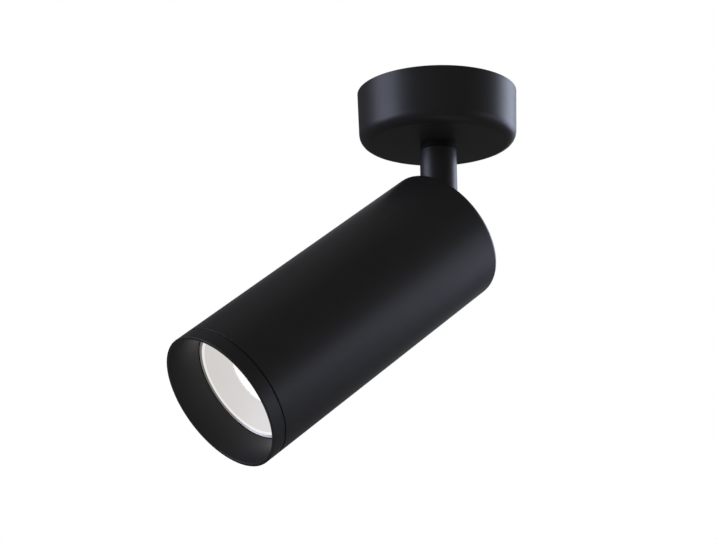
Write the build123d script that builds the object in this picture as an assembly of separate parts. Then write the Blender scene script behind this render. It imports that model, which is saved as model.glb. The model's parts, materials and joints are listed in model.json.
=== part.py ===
from build123d import *
from collections import namedtuple
import math
import os

# Surface mounted ceiling spotlight: a round ceiling cup, a short stem that swivels under it, and a
# cylindrical head that tilts on the stem and holds a twist-lock reflector lamp behind a push-in ring.
#
# Millimetres, +Z up. The origin is the middle of the ceiling face, so everything hangs below z = 0.
# At rest the head points towards -X and down, and the tilt axis is +Y.
# Head pieces are drawn straight down, with the tilt axis at the origin, and in_head() places them.

# ---- fits -----------------------------------------------------------------------------------------
THREAD_GAP = 0.02  # screw in its tapped hole, on the radius
RUN_GAP = 0.05  # shaft turning in its bore, on the radius
FACE_GAP = 0.05  # flat faces that slide on each other
PLAY = 0.3  # pieces that must pass without rubbing
PUSH_GAP = 0.08  # ring spigot in the housing, on the radius

# ---- ceiling cup ----------------------------------------------------------------------------------
CUP_TOP_R = 35.36
CUP_DRAFT = 0.75  # smaller at the bottom, on the radius
CUP_H = 24.05
CUP_EDGE_R = 5.2
CUP_WALL = 1.8
CUP_FLOOR = 2.5
PEG_R, PEG_H = 1.2, 2.5  # stop peg cast on the cup floor
PEG_GAP = 1.8  # stop peg to the round of the stop washer

# ---- swivel bearing between the cup and the stem --------------------------------------------------
COLLAR_STEP, COLLAR_H = 0.45, 2.8  # bush flange that shows between cup and stem: inside the stem's side
BUSH_SHOULDER = 0.85  # flange past the neck that is pressed into the cup
NIPPLE_R, NIPPLE_WALL = 5.0, 1.5
NIPPLE_FLAT_DEPTH = 0.8  # flat that keys the stop washer
NIPPLE_IN_STEM = 8.0
NIPPLE_PAST_NUT = 1.7
STOP_WASHER_W, STOP_WASHER_T = 4.0, 1.5  # widths are measured from the nipple
STOP_LUG_W = 3.0
SPRING_WASHER_W, SPRING_WASHER_H, SPRING_WASHER_T = 3.2, 1.2, 0.7
SWIVEL_NUT_W, SWIVEL_NUT_T = 2.0, 3.5

# ---- ceiling bracket ------------------------------------------------------------------------------
BRACKET_T = 1.5
BRACKET_W = 18.0
BRACKET_TO_CUP = 2.56  # end tabs to the inside of the cup's rim
FIXING_SLOT_L, FIXING_SLOT_W = 12.0, 4.5
FIXING_LAND = 2.5  # metal left between a slot and its end tab
CABLE_HOLE_R = 6.0
TAB_W = 12.0
HOOK_Z, HOOK_REACH, HOOK_W = -12.0, 1.5, 9.0
LEDGE_T, LEDGE_W = 2.4, 10.0
CUP_SCREW_Z = -11.0
SCREW_TAB_BELOW = 4.0  # tab below the cup screw's axis
WING_W, WING_PAST_BLOCK = 20.0, 0.5
EARTH_SCREW_X = -10.5

# ---- terminal block -------------------------------------------------------------------------------
BLOCK_W, BLOCK_D, BLOCK_H = 24.0, 15.0, 12.5
BLOCK_NEAR_Y = 11.5
BLOCK_BASE_T = 3.0
POLES, POLE_PITCH, POLE_W = 3, 8.0, 6.4
POLE_Z = -9.0
TUBE_R, TUBE_BORE_R, TUBE_INSET = 2.25, 1.5, 1.0
CLAMP_SCREW_R, CLAMP_HEAD_R, CLAMP_HEAD_H = 1.25, 1.7, 1.6
CLAMP_PITCH = 7.0
SNAP_PEG_R, SNAP_PEG_X = 1.5, 6.0

# ---- stem -----------------------------------------------------------------------------------------
STEM_R = 8.1
STEM_CHAMFER = 0.4
STEM_WALL = 1.9
PIVOT_Z = -66.9
BORE_STOP = 8.5  # solid metal left above the tilt axis
TONGUE_T, TONGUE_R = 5.0, 5.0
FRICTION_WASHER_T, FRICTION_WASHER_INSET = 0.5, 0.1
PIVOT_SEAT_DEPTH = 2.5  # seats of the pivot screw's head and nut, below the stem's side
WIRE_HOLE_R, WIRE_HOLE_WALL = 1.3, 1.2
WIRE_HOLE_ANGLE = 47.97  # degrees round the stem from +X

# ---- head -----------------------------------------------------------------------------------------
HEAD_TILT = 52.73  # degrees from straight down, at rest
TILT_MAX = 65.0  # where the slot in the back wall ends
BACK_BEHIND_PIVOT = 2.63
HEAD_R = 30.0
HEAD_L = 138.2
HEAD_EDGE_R = 1.9
HEAD_WALL = 1.8
BACK_WALL = 2.5
HINGE_SCREW_Y = 18.0

# ---- hinge bracket and lampholder strap -----------------------------------------------------------
HINGE_BAR_GAP, HINGE_BAR_T = 2.27, 4.0  # ball end of the stem to the bar
HINGE_BAR_Y, POST_R = 22.0, 4.0
STRAP_T, STRAP_W, STRAP_Y = 1.2, 14.0, 17.0
STRAP_BEND_R = 2.0
STRAP_SCREW_Y = 9.0
HOLDER_R, HOLDER_H = 14.0, 16.0
HOLDER_SCREW_Y = 9.5
HOLDER_FRONT_WALL = 2.8
CONTACT_W, CONTACT_T = 4.2, 0.5
LUG_R, LUG_T = 3.2, 0.8

# ---- front ring -----------------------------------------------------------------------------------
RING_L = 6.25  # part of the ring that shows
SEAM_W, SEAM_DEPTH, SEAM_BEVEL = 0.5, 0.6, 0.45
LIP_WALL = 1.33  # ring's wall at the lip
BAFFLE_GAP, BAFFLE_DEPTH = 0.25, 13.55  # baffle's small end to the lamp's side
RING_TO_LAMP = 0.2  # ring's rear edge in front of the lamp's face
LIP_ROUND = 0.25
O_RING_AT, O_RING_GROOVE_W, O_RING_GROOVE_DEPTH = 11.2, 1.4, 1.15

# ---- reflector lamp with two twist-lock pins ------------------------------------------------------
LAMP_BEHIND_BAFFLE = 0.4
LAMP_R, LAMP_L = 25.35, 52.95  # length without its pins
LAMP_SHELL_T = 1.5
LAMP_BASE_R, LAMP_BASE_L = 10.2, 10.0
BEZEL_W, BEZEL_T, BEZEL_ROUND = 2.15, 2.0, 0.6
REFLECTOR_T, REFLECTOR_DEPTH = 0.8, 7.4
LENS_INSET, LENS_T = 10.15, 1.4  # lens's edge to the lamp's side
LED_BOARD_INSET, LED_BOARD_T = 0.7, 1.6
LED_SIZE, LED_T, LED_CIRCLE_R, LED_COUNT = 3.0, 0.7, 7.5, 6
FIN_COUNT, FIN_T, FIN_H = 18, 1.0, 1.1
PIN_PITCH, PIN_NECK_R, PIN_HEAD_R = 10.0, 1.55, 2.5
PIN_NECK_L, PIN_HEAD_L = 3.8, 3.2
TWIST = 45.0  # degrees from locked to free, anticlockwise seen from the front
DRIVER_GAP, DRIVER_L, DRIVER_T = 1.7, 24.0, 1.6  # board's edges to the inside of the base

# ---- wires ----------------------------------------------------------------------------------------
CORES = ("live", "neutral", "earth")
WIRE_R = 0.8
WIRE_IN_NIPPLE = 0.8  # wires to the nipple's bore
WIRE_BEND_R = 2.5

# ---- screws ---------------------------------------------------------------------------------------
Screw = namedtuple("Screw", "r head_r head_h socket_r")
M3 = Screw(1.5, 2.75, 1.7, 1.15)
PIVOT_NUT_AF, PIVOT_NUT_T = 5.5, 1.9

# ---- sizes that follow from others ----------------------------------------------------------------
CUP_BOTTOM_R = CUP_TOP_R - CUP_DRAFT
BRACKET_HALF = CUP_TOP_R - CUP_WALL - BRACKET_TO_CUP  # to the outer faces of the end tabs
FIXING_PITCH = 2 * (BRACKET_HALF - BRACKET_T - FIXING_LAND) - FIXING_SLOT_L
COLLAR_R = STEM_R - COLLAR_STEP
BUSH_NECK_R = COLLAR_R - BUSH_SHOULDER
NIPPLE_BORE_R = NIPPLE_R - NIPPLE_WALL
NIPPLE_FLAT = NIPPLE_R - NIPPLE_FLAT_DEPTH
STOP_WASHER_R = NIPPLE_R + STOP_WASHER_W
PEG_AT_R = STOP_WASHER_R + PEG_GAP + PEG_R
STOP_LUG_R = PEG_AT_R + PEG_R
SPRING_WASHER_R = NIPPLE_R + SPRING_WASHER_W
SWIVEL_NUT_AF = 2 * (NIPPLE_R + SWIVEL_NUT_W)
WIRE_CIRCLE_R = NIPPLE_BORE_R - WIRE_IN_NIPPLE - WIRE_R
STEM_BORE_R = STEM_R - STEM_WALL
PIVOT_SEAT_Y = STEM_R - PIVOT_SEAT_DEPTH
FRICTION_WASHER_R = TONGUE_R - FRICTION_WASHER_INSET
WIRE_HOLE_CIRCLE_R = STEM_R - WIRE_HOLE_WALL - WIRE_HOLE_R
HINGE_BAR_AT = BACK_BEHIND_PIVOT + STEM_R + HINGE_BAR_GAP  # below the back face
RING_LIP_R = HEAD_R - LIP_WALL
BAFFLE_R = LAMP_R + BAFFLE_GAP
LAMP_FRONT = BAFFLE_DEPTH + LAMP_BEHIND_BAFFLE  # behind the lip
RING_DEPTH = LAMP_FRONT - RING_TO_LAMP
LENS_R = LAMP_R - LENS_INSET
LED_BOARD_R = LENS_R - LED_BOARD_INSET
DRIVER_W = 2 * (LAMP_BASE_R - LAMP_SHELL_T - DRIVER_GAP)

# ---- levels that several pieces share -------------------------------------------------------------
FLOOR_TOP = -CUP_H + CUP_FLOOR
STEM_TOP = -CUP_H - COLLAR_H - FACE_GAP
STOP_WASHER_Z = FLOOR_TOP + FACE_GAP
SPRING_WASHER_Z = STOP_WASHER_Z + STOP_WASHER_T
SWIVEL_NUT_Z = SPRING_WASHER_Z + SPRING_WASHER_H
NIPPLE_TOP = SWIVEL_NUT_Z + SWIVEL_NUT_T + NIPPLE_PAST_NUT
HEAD_BORE_R = HEAD_R - HEAD_WALL
FORK_HALF = TONGUE_T / 2 + FRICTION_WASHER_T + FACE_GAP
SLOT_HALF = STEM_R + PLAY
SLOT_END = (
    BACK_BEHIND_PIVOT * math.tan(math.radians(TILT_MAX))
    + STEM_R / math.cos(math.radians(TILT_MAX))
    + PLAY
)


def from_back(depth):
    """Height, in the head's own frame, of a level this far in front of the back face."""
    return BACK_BEHIND_PIVOT - depth


def from_lip(depth):
    """Height, in the head's own frame, of a level this far behind the front lip."""
    return BACK_BEHIND_PIVOT - HEAD_L + depth


BAR_TOP = from_back(HINGE_BAR_AT)
BAR_BOTTOM = BAR_TOP - HINGE_BAR_T
WALL_INNER = from_back(BACK_WALL)
LAMP_FACE = from_lip(LAMP_FRONT)
LAMP_BASE = LAMP_FACE + LAMP_L
HOLDER_FRONT = LAMP_BASE + PLAY
HOLDER_TOP = HOLDER_FRONT + HOLDER_H
PIN_CAVITY_TOP = HOLDER_FRONT + PIN_NECK_L + PIN_HEAD_L + 2 * CONTACT_T
LENS_FACE = LAMP_FACE + REFLECTOR_DEPTH
LED_BOARD_FACE = LENS_FACE + LENS_T + 2 * LED_T
SINK_PLATE_Z = LED_BOARD_FACE + LED_BOARD_T


# ---- shapes ---------------------------------------------------------------------------------------
def rod(radius, low, high, x=0.0, y=0.0):
    """Cylinder along Z between two heights."""
    return Pos(x, y, (low + high) / 2) * Cylinder(radius, high - low)


def cross_rod(radius, near, far, x=0.0, z=0.0):
    """Cylinder along Y between two places."""
    return Pos(x, (near + far) / 2, z) * Rot(90, 0, 0) * Cylinder(radius, far - near)


def side_rod(radius, near, far, y=0.0, z=0.0):
    """Cylinder along X between two places."""
    return Pos((near + far) / 2, y, z) * Rot(0, 90, 0) * Cylinder(radius, far - near)


def block(x0, x1, y0, y1, z0, z1):
    """Box between two corners."""
    return Pos((x0 + x1) / 2, (y0 + y1) / 2, (z0 + z1) / 2) * Box(x1 - x0, y1 - y0, z1 - z0)


def hexagon(across_flats, low, high):
    """Hexagonal bar along Z."""
    face = RegularPolygon(across_flats / 2, 6, major_radius=False)
    return extrude(Pos(0, 0, low) * face, high - low)


def outline(points, rounds=()):
    """Closed outline of straight lines, with the corner nearest each given place rounded."""
    face = make_face(Polyline(*points, close=True))
    for place, radius in rounds:
        corner = face.vertices().sort_by_distance((*place, 0))[0]
        face = fillet(corner, radius)
    return face


def turned(points, rounds=()):
    """Solid turned about Z from an outline of (radius, height) points."""
    return revolve(Plane.XZ * outline(points, rounds), Axis.Z)


def cap_screw(size, length):
    """Socket screw pointing down, its head's seat at z = 0."""
    head = rod(size.head_r, 0, size.head_h)
    socket = hexagon(2 * size.socket_r, size.head_h * 0.4, size.head_h)
    return head + rod(size.r, -length, 0) - socket


def countersunk_screw(size, length):
    """Countersunk screw pointing down, its flat head flush with z = 0."""
    cone = countersink(size)
    socket = hexagon(2 * size.socket_r, -size.head_h * 0.7, 0)
    return cone + rod(size.r, -length, -size.head_h) - socket


def countersink(size, gap=0.0):
    """Cone of a countersunk head, grown by a gap."""
    low, high = size.r + gap, size.head_r + gap
    return turned([(0, -size.head_h), (low, -size.head_h), (high, 0), (0, 0)])


def wire(points, bend_r=WIRE_BEND_R):
    """Insulated wire along straight runs joined by arcs."""
    path = FilletPolyline(*points, radius=bend_r) if len(points) > 2 else Line(*points)
    section = Plane(origin=path @ 0, z_dir=path % 0) * Circle(WIRE_R)
    return sweep(section, path)


def in_head(shape):
    """Moves a piece from the head's own frame to its place at rest."""
    return Pos(0, 0, PIVOT_Z) * Rot(0, HEAD_TILT, 0) * shape


# ---- ceiling cup and bracket ----------------------------------------------------------------------
def cup_radius(z):
    """Outer radius of the cup at a height: its side has a slight draft."""
    return CUP_TOP_R + (CUP_TOP_R - CUP_BOTTOM_R) * z / CUP_H


def canopy_cover():
    """Ceiling cup: round shell, hook ledge on the -X side and a stop peg on its floor."""
    hole_r = BUSH_NECK_R + THREAD_GAP
    inner_r = CUP_BOTTOM_R - CUP_WALL
    shell = turned(
        [
            (CUP_TOP_R, 0),
            (CUP_BOTTOM_R, -CUP_H),
            (hole_r, -CUP_H),
            (hole_r, FLOOR_TOP),
            (inner_r, FLOOR_TOP),
            (CUP_TOP_R - CUP_WALL, 0),
        ],
        [((CUP_BOTTOM_R, -CUP_H), CUP_EDGE_R), ((inner_r, FLOOR_TOP), CUP_EDGE_R - CUP_WALL)],
    )
    ledge_low = HOOK_Z + BRACKET_T + FACE_GAP
    ledge = block(
        -cup_radius(HOOK_Z) + CUP_WALL / 2,
        -BRACKET_HALF - PLAY,
        -LEDGE_W / 2,
        LEDGE_W / 2,
        ledge_low,
        ledge_low + LEDGE_T,
    )
    peg = rod(PEG_R, FLOOR_TOP - CUP_FLOOR / 2, FLOOR_TOP + PEG_H, x=PEG_AT_R)
    screw_hole = side_rod(M3.r + PLAY, BRACKET_HALF, CUP_TOP_R + CUP_WALL, z=CUP_SCREW_Z)
    return shell + ledge + peg - screw_hole


def mounting_bracket():
    """Steel strip screwed to the ceiling, with a hook tab, a screw tab and a wing for the terminals."""
    half_w = BRACKET_W / 2
    inner = BRACKET_HALF - BRACKET_T
    strip = block(-inner, inner, -half_w, half_w, -BRACKET_T, 0)
    for side in (-1, 1):
        strip -= Pos(side * FIXING_PITCH / 2, 0, -BRACKET_T / 2) * extrude(
            SlotOverall(FIXING_SLOT_L, FIXING_SLOT_W), BRACKET_T, both=True
        )
    strip -= rod(CABLE_HOLE_R, -BRACKET_T, 0)
    half_tab = TAB_W / 2
    hook_tab = block(-BRACKET_HALF, -inner, -half_tab, half_tab, HOOK_Z, 0)
    toe_x = BRACKET_HALF + HOOK_REACH
    hook = block(-toe_x, -inner, -HOOK_W / 2, HOOK_W / 2, HOOK_Z, HOOK_Z + BRACKET_T)
    screw_tab = block(inner, BRACKET_HALF, -half_tab, half_tab, CUP_SCREW_Z - SCREW_TAB_BELOW, 0)
    screw_tab -= side_rod(M3.r + THREAD_GAP, inner, BRACKET_HALF, z=CUP_SCREW_Z)
    wing_end = BLOCK_NEAR_Y + BLOCK_D + WING_PAST_BLOCK
    wing = block(-WING_W / 2, WING_W / 2, half_w, wing_end, -BRACKET_T, 0)
    for x in (-SNAP_PEG_X, SNAP_PEG_X):
        wing -= rod(SNAP_PEG_R + RUN_GAP, -BRACKET_T, 0, x, block_middle_y())
    bracket = strip + hook_tab + hook + screw_tab + wing
    return bracket - rod(M3.r + THREAD_GAP, -BRACKET_T, 0, EARTH_SCREW_X)


def cup_screw():
    """Socket screw that holds the cup to the bracket's screw tab."""
    seat = cup_radius(CUP_SCREW_Z + M3.head_r) + FACE_GAP
    reach = seat - (BRACKET_HALF - BRACKET_T) + M3.r
    return Pos(seat, 0, CUP_SCREW_Z) * Rot(0, 90, 0) * cap_screw(M3, reach)


def earth_screw():
    """Brass earth screw under the bracket, with its clamp washer."""
    washer = rod(M3.head_r + 1, -M3.r, 0) - rod(M3.r, -M3.r, 0)
    screw = Pos(0, 0, -M3.r) * Rot(180, 0, 0) * cap_screw(M3, M3.r + BRACKET_T - FACE_GAP)
    return Pos(EARTH_SCREW_X, 0, -BRACKET_T) * (washer + screw)


# ---- terminal block -------------------------------------------------------------------------------
def block_middle_y():
    """Middle of the terminal block, across the bracket."""
    return BLOCK_NEAR_Y + BLOCK_D / 2


def pole_places():
    """X of each pole of the terminal block."""
    return [(i - (POLES - 1) / 2) * POLE_PITCH for i in range(POLES)]


def clamp_places():
    """X and Y of each clamp screw of the terminal block."""
    return [(x, block_middle_y() + s * CLAMP_PITCH / 2) for x in pole_places() for s in (-1, 1)]


def terminal_block():
    """Moulded three-pole block that snaps into the wing of the bracket."""
    top = -BRACKET_T
    bottom = top - BLOCK_H
    near, far = BLOCK_NEAR_Y, BLOCK_NEAR_Y + BLOCK_D
    body = block(-BLOCK_W / 2, BLOCK_W / 2, near, far, top - BLOCK_BASE_T, top)
    for x in pole_places():
        body += block(x - POLE_W / 2, x + POLE_W / 2, near, far, bottom, top - BLOCK_BASE_T)
    for x in (-SNAP_PEG_X, SNAP_PEG_X):
        body += rod(SNAP_PEG_R, top, -2 * FACE_GAP, x, block_middle_y())
    for x in pole_places():
        body -= cross_rod(TUBE_R + THREAD_GAP, near, far, x, POLE_Z)
    for x, y in clamp_places():
        body -= rod(CLAMP_HEAD_R + PLAY / 2, bottom, POLE_Z, x, y)
    return body


def terminal_tubes():
    """Brass tubes that join the wires pole by pole."""
    near, far = BLOCK_NEAR_Y + TUBE_INSET, BLOCK_NEAR_Y + BLOCK_D - TUBE_INSET
    tubes = []
    for x in pole_places():
        tube = cross_rod(TUBE_R, near, far, x, POLE_Z) - cross_rod(TUBE_BORE_R, near, far, x, POLE_Z)
        for place_x, y in clamp_places():
            if place_x == x:
                tube -= rod(CLAMP_SCREW_R + THREAD_GAP, POLE_Z - 2 * TUBE_R, POLE_Z, x, y)
        tubes.append(tube)
    return Compound(tubes)


def terminal_screws():
    """Clamp screws of the terminal block, two to a pole."""
    head_z = POLE_Z - TUBE_R - CLAMP_HEAD_H - PLAY
    screw = rod(CLAMP_HEAD_R, head_z, head_z + CLAMP_HEAD_H)
    screw += rod(CLAMP_SCREW_R, head_z, POLE_Z - WIRE_R - FACE_GAP)
    screw -= block(-CLAMP_HEAD_R, CLAMP_HEAD_R, -PLAY, PLAY, head_z, head_z + CLAMP_HEAD_H / 2)
    return Compound([Pos(x, y, 0) * screw for x, y in clamp_places()])


# ---- swivel bearing -------------------------------------------------------------------------------
def swivel_bush():
    """Nylon bush pressed into the cup floor; its flange shows as the dark collar over the stem."""
    bore_r = NIPPLE_R + RUN_GAP
    bottom = -CUP_H - COLLAR_H
    return turned(
        [
            (bore_r, bottom),
            (COLLAR_R, bottom),
            (COLLAR_R, -CUP_H),
            (BUSH_NECK_R, -CUP_H),
            (BUSH_NECK_R, FLOOR_TOP),
            (bore_r, FLOOR_TOP),
        ]
    )


def flat_cut(low, high, depth):
    """Material beyond the nipple's key flat."""
    return block(depth, 2 * NIPPLE_R, -NIPPLE_R * 2, NIPPLE_R * 2, low, high)


def stem_nipple():
    """Hollow threaded nipple: the wires pass through it, and it carries the stem."""
    low = STEM_TOP - NIPPLE_IN_STEM
    nipple = rod(NIPPLE_R, low, NIPPLE_TOP) - rod(NIPPLE_BORE_R, low, NIPPLE_TOP)
    return nipple - flat_cut(STOP_WASHER_Z, NIPPLE_TOP, NIPPLE_FLAT)


def stop_washer():
    """Washer keyed to the nipple, with the lug that meets the cup's stop peg."""
    low, high = STOP_WASHER_Z, STOP_WASHER_Z + STOP_WASHER_T
    lug = block(-STOP_LUG_R, 0, -STOP_LUG_W / 2, STOP_LUG_W / 2, low, high)
    key_hole = rod(NIPPLE_R + THREAD_GAP, low, high)
    return rod(STOP_WASHER_R, low, high) + lug - (key_hole - flat_cut(low, high, NIPPLE_FLAT + THREAD_GAP))


def spring_washer():
    """Dished spring washer that keeps the swivel stiff."""
    low, high = SPRING_WASHER_Z, SPRING_WASHER_Z + SPRING_WASHER_H
    inner_r = NIPPLE_R + RUN_GAP
    return turned(
        [
            (inner_r, high - SPRING_WASHER_T),
            (SPRING_WASHER_R, low),
            (SPRING_WASHER_R, low + SPRING_WASHER_T),
            (inner_r, high),
        ]
    )


def swivel_nut():
    """Thin lock nut on the nipple."""
    nut = hexagon(SWIVEL_NUT_AF, SWIVEL_NUT_Z, SWIVEL_NUT_Z + SWIVEL_NUT_T)
    return nut - rod(NIPPLE_R + THREAD_GAP, SWIVEL_NUT_Z, SWIVEL_NUT_Z + SWIVEL_NUT_T)


# ---- stem and tilt hinge --------------------------------------------------------------------------
def wire_hole_places():
    """Places of the three wire holes beside the hinge tongue."""
    turn = math.radians(WIRE_HOLE_ANGLE)
    x, y = WIRE_HOLE_CIRCLE_R * math.cos(turn), WIRE_HOLE_CIRCLE_R * math.sin(turn)
    return [(x, y), (x, -y), (-x, y)]


def stem_tube():
    """Turned stem: tapped for the nipple, and forked in its ball end for the hinge tongue."""
    straight = STEM_TOP - PIVOT_Z
    side = Polyline(
        (0, 0),
        (0, straight),
        (STEM_R - STEM_CHAMFER, straight),
        (STEM_R, straight - STEM_CHAMFER),
        (STEM_R, 0),
    )
    ball = ThreePointArc(
        (STEM_R, 0),
        (STEM_R * math.sin(math.pi / 4), -STEM_R * math.cos(math.pi / 4)),
        (0, -STEM_R),
    )
    face = make_face([*side.edges(), ball, Line((0, -STEM_R), (0, 0))])
    stem = revolve(Plane.XZ * face, Axis.Z)
    stem -= rod(NIPPLE_R + THREAD_GAP, straight - NIPPLE_IN_STEM, straight)
    stem -= rod(STEM_BORE_R, BORE_STOP, straight - NIPPLE_IN_STEM)
    for x, y in wire_hole_places():
        stem -= rod(WIRE_HOLE_R, -STEM_R, BORE_STOP, x, y)
    reach = TONGUE_R + PLAY
    far = 2 * STEM_R
    stem -= cross_rod(reach, -FORK_HALF, FORK_HALF)
    stem -= block(-far, 0, -FORK_HALF, FORK_HALF, -far, reach)
    stem -= block(0, reach, -FORK_HALF, FORK_HALF, -far, 0)
    stem -= cross_rod(M3.r + THREAD_GAP, -STEM_R, STEM_R)
    stem -= cross_rod(M3.head_r + PLAY, -STEM_R, -PIVOT_SEAT_Y)
    pocket = Rot(-90, 0, 0) * hexagon(PIVOT_NUT_AF + 2 * RUN_GAP, PIVOT_SEAT_Y, STEM_R)
    return Pos(0, 0, PIVOT_Z) * (stem - pocket)


def pivot_screw():
    """Screw through the fork that the head tilts on."""
    length = 2 * PIVOT_SEAT_Y + PIVOT_NUT_T
    return Pos(0, -PIVOT_SEAT_Y, PIVOT_Z) * Rot(90, 0, 0) * cap_screw(M3, length)


def pivot_nut():
    """Lock nut in the fork's hexagonal pocket."""
    nut = hexagon(PIVOT_NUT_AF, PIVOT_SEAT_Y, PIVOT_SEAT_Y + PIVOT_NUT_T)
    nut -= rod(M3.r + THREAD_GAP, PIVOT_SEAT_Y, PIVOT_SEAT_Y + PIVOT_NUT_T)
    return Pos(0, 0, PIVOT_Z) * Rot(-90, 0, 0) * nut


def friction_washers():
    """Two washers between the tongue and the fork that hold the head where it is put."""
    near = TONGUE_T / 2 + FACE_GAP / 2
    far = near + FRICTION_WASHER_T
    pair = []
    for low, high in ((near, far), (-far, -near)):
        washer = cross_rod(FRICTION_WASHER_R, low, high) - cross_rod(M3.r + RUN_GAP, low, high)
        pair.append(Pos(0, 0, PIVOT_Z) * washer)
    return Compound(pair)


# ---- head -----------------------------------------------------------------------------------------
def head_housing():
    """Cylindrical head, closed at the back except for the slot that the stem swings in."""
    back, mouth = from_back(0), from_lip(RING_L + SEAM_W)
    cup = turned(
        [
            (0, back),
            (HEAD_R, back),
            (HEAD_R, mouth),
            (HEAD_BORE_R, mouth),
            (HEAD_BORE_R, WALL_INNER),
            (0, WALL_INNER),
        ],
        [((HEAD_R, back), HEAD_EDGE_R), ((HEAD_BORE_R, WALL_INNER), HEAD_EDGE_R / 2)],
    )
    slot_l = SLOT_END - SLOT_HALF
    cup -= rod(SLOT_HALF, WALL_INNER, back)
    cup -= rod(SLOT_HALF, WALL_INNER, back, x=-slot_l)
    cup -= block(-slot_l, 0, -SLOT_HALF, SLOT_HALF, WALL_INNER, back)
    for y in (-HINGE_SCREW_Y, HINGE_SCREW_Y):
        cup -= rod(M3.r + RUN_GAP, WALL_INNER, back, y=y)
        cup -= Pos(0, y, back) * countersink(M3, RUN_GAP)
    return in_head(cup)


def hinge_bracket():
    """Die-cast bridge behind the back wall, with the tongue that the stem's fork holds."""
    half_tongue = TONGUE_T / 2
    body = cross_rod(TONGUE_R, -half_tongue, half_tongue)
    body += block(-TONGUE_R, TONGUE_R, -half_tongue, half_tongue, BAR_TOP, 0)
    body += block(-TONGUE_R, TONGUE_R, -HINGE_BAR_Y, HINGE_BAR_Y, BAR_BOTTOM, BAR_TOP)
    for y in (-HINGE_SCREW_Y, HINGE_SCREW_Y):
        body += rod(POST_R, BAR_TOP, WALL_INNER, y=y)
    for y in (-HINGE_SCREW_Y, HINGE_SCREW_Y):
        body -= rod(M3.r + THREAD_GAP, BAR_TOP, WALL_INNER, y=y)
    for y in (-STRAP_SCREW_Y, STRAP_SCREW_Y):
        body -= rod(M3.r + THREAD_GAP, BAR_BOTTOM, BAR_TOP, y=y)
    return in_head(body - cross_rod(M3.r + RUN_GAP, -half_tongue, half_tongue))


def hinge_screws():
    """Two countersunk screws that hold the hinge bracket to the back wall."""
    screw = countersunk_screw(M3, BACK_WALL + HINGE_BAR_AT / 2)
    places = (-HINGE_SCREW_Y, HINGE_SCREW_Y)
    return Compound([in_head(Pos(0, y, from_back(0)) * screw) for y in places])


def holder_strap():
    """Folded steel strap that carries the lampholder under the hinge bracket."""
    low, high = HOLDER_TOP, BAR_BOTTOM
    outer = Pos(0, (low + high) / 2) * RectangleRounded(2 * STRAP_Y, high - low, STRAP_BEND_R)
    inner = Pos(0, (low + high) / 2) * RectangleRounded(
        2 * (STRAP_Y - STRAP_T), high - low - 2 * STRAP_T, STRAP_BEND_R - STRAP_T
    )
    strap = extrude(Plane.YZ * (outer - inner), STRAP_W / 2, both=True)
    for y in (-STRAP_SCREW_Y, STRAP_SCREW_Y):
        strap -= rod(M3.r + RUN_GAP, high - STRAP_T, high, y=y)
    for y in (-HOLDER_SCREW_Y, HOLDER_SCREW_Y):
        strap -= rod(M3.r + RUN_GAP, low, low + STRAP_T, y=y)
    return in_head(strap)


def strap_screws():
    """Screws that hold the strap up to the hinge bracket; one of them also holds the earth lug."""
    pair = []
    for y, packing in ((-STRAP_SCREW_Y, 0.0), (STRAP_SCREW_Y, LUG_T)):
        seat = BAR_BOTTOM - STRAP_T - packing
        screw = Rot(180, 0, 0) * cap_screw(M3, STRAP_T + packing + HINGE_BAR_T - FACE_GAP)
        pair.append(in_head(Pos(0, y, seat) * screw))
    return Compound(pair)


def earth_lug():
    """Ring lug of the head's earth wire."""
    high = BAR_BOTTOM - STRAP_T
    low = high - LUG_T
    tail = block(0, LUG_R + STRAP_W / 4, STRAP_SCREW_Y - WIRE_R, STRAP_SCREW_Y + WIRE_R, low, high)
    lug = rod(LUG_R, low, high, y=STRAP_SCREW_Y) + tail
    return in_head(lug - rod(M3.r + RUN_GAP, low, high, y=STRAP_SCREW_Y))


# ---- lampholder -----------------------------------------------------------------------------------
def pin_places(turn=0.0):
    """X and Y of the two lamp pins, turned from the locked place by an angle in degrees."""
    half = PIN_PITCH / 2
    angles = [math.radians(turn + start) for start in (0, 180)]
    return [(half * math.cos(a), half * math.sin(a)) for a in angles]


def holder_wire_places():
    """X and Y of the two wires that enter the lampholder."""
    x = (HOLDER_R + STRAP_W / 2) / 2 - FACE_GAP
    y = wire_hole_places()[0][1]
    return [(x, y), (x, -y)]


def lampholder():
    """Ceramic lampholder with two keyhole slots for the lamp's pins."""
    half = PIN_PITCH / 2
    body = rod(HOLDER_R, HOLDER_FRONT, HOLDER_TOP)
    hollow_low = HOLDER_FRONT + HOLDER_FRONT_WALL
    hollow_r = half + PIN_HEAD_R + PLAY
    post_r = half - PIN_HEAD_R - PLAY
    body -= rod(hollow_r, hollow_low, PIN_CAVITY_TOP) - rod(post_r, hollow_low, PIN_CAVITY_TOP)
    neck_r = PIN_NECK_R + PLAY
    track = rod(half + neck_r, HOLDER_FRONT, hollow_low) - rod(half - neck_r, HOLDER_FRONT, hollow_low)
    for turn in (0, 180):
        wedge = Rot(0, 0, turn - TWIST) * sector(TWIST, HOLDER_FRONT, hollow_low)
        body -= track & wedge
    for x, y in pin_places():
        body -= rod(neck_r, HOLDER_FRONT, hollow_low, x, y)
    for x, y in pin_places(-TWIST):
        body -= rod(PIN_HEAD_R + PLAY, HOLDER_FRONT, hollow_low, x, y)
    blind = HOLDER_TOP - HOLDER_H / 3
    for y in (-HOLDER_SCREW_Y, HOLDER_SCREW_Y):
        body -= rod(M3.r + THREAD_GAP, blind, HOLDER_TOP, y=y)
    for x, y in holder_wire_places():
        body -= rod(WIRE_R + RUN_GAP, blind, HOLDER_TOP, x, y)
    return in_head(body)


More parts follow.
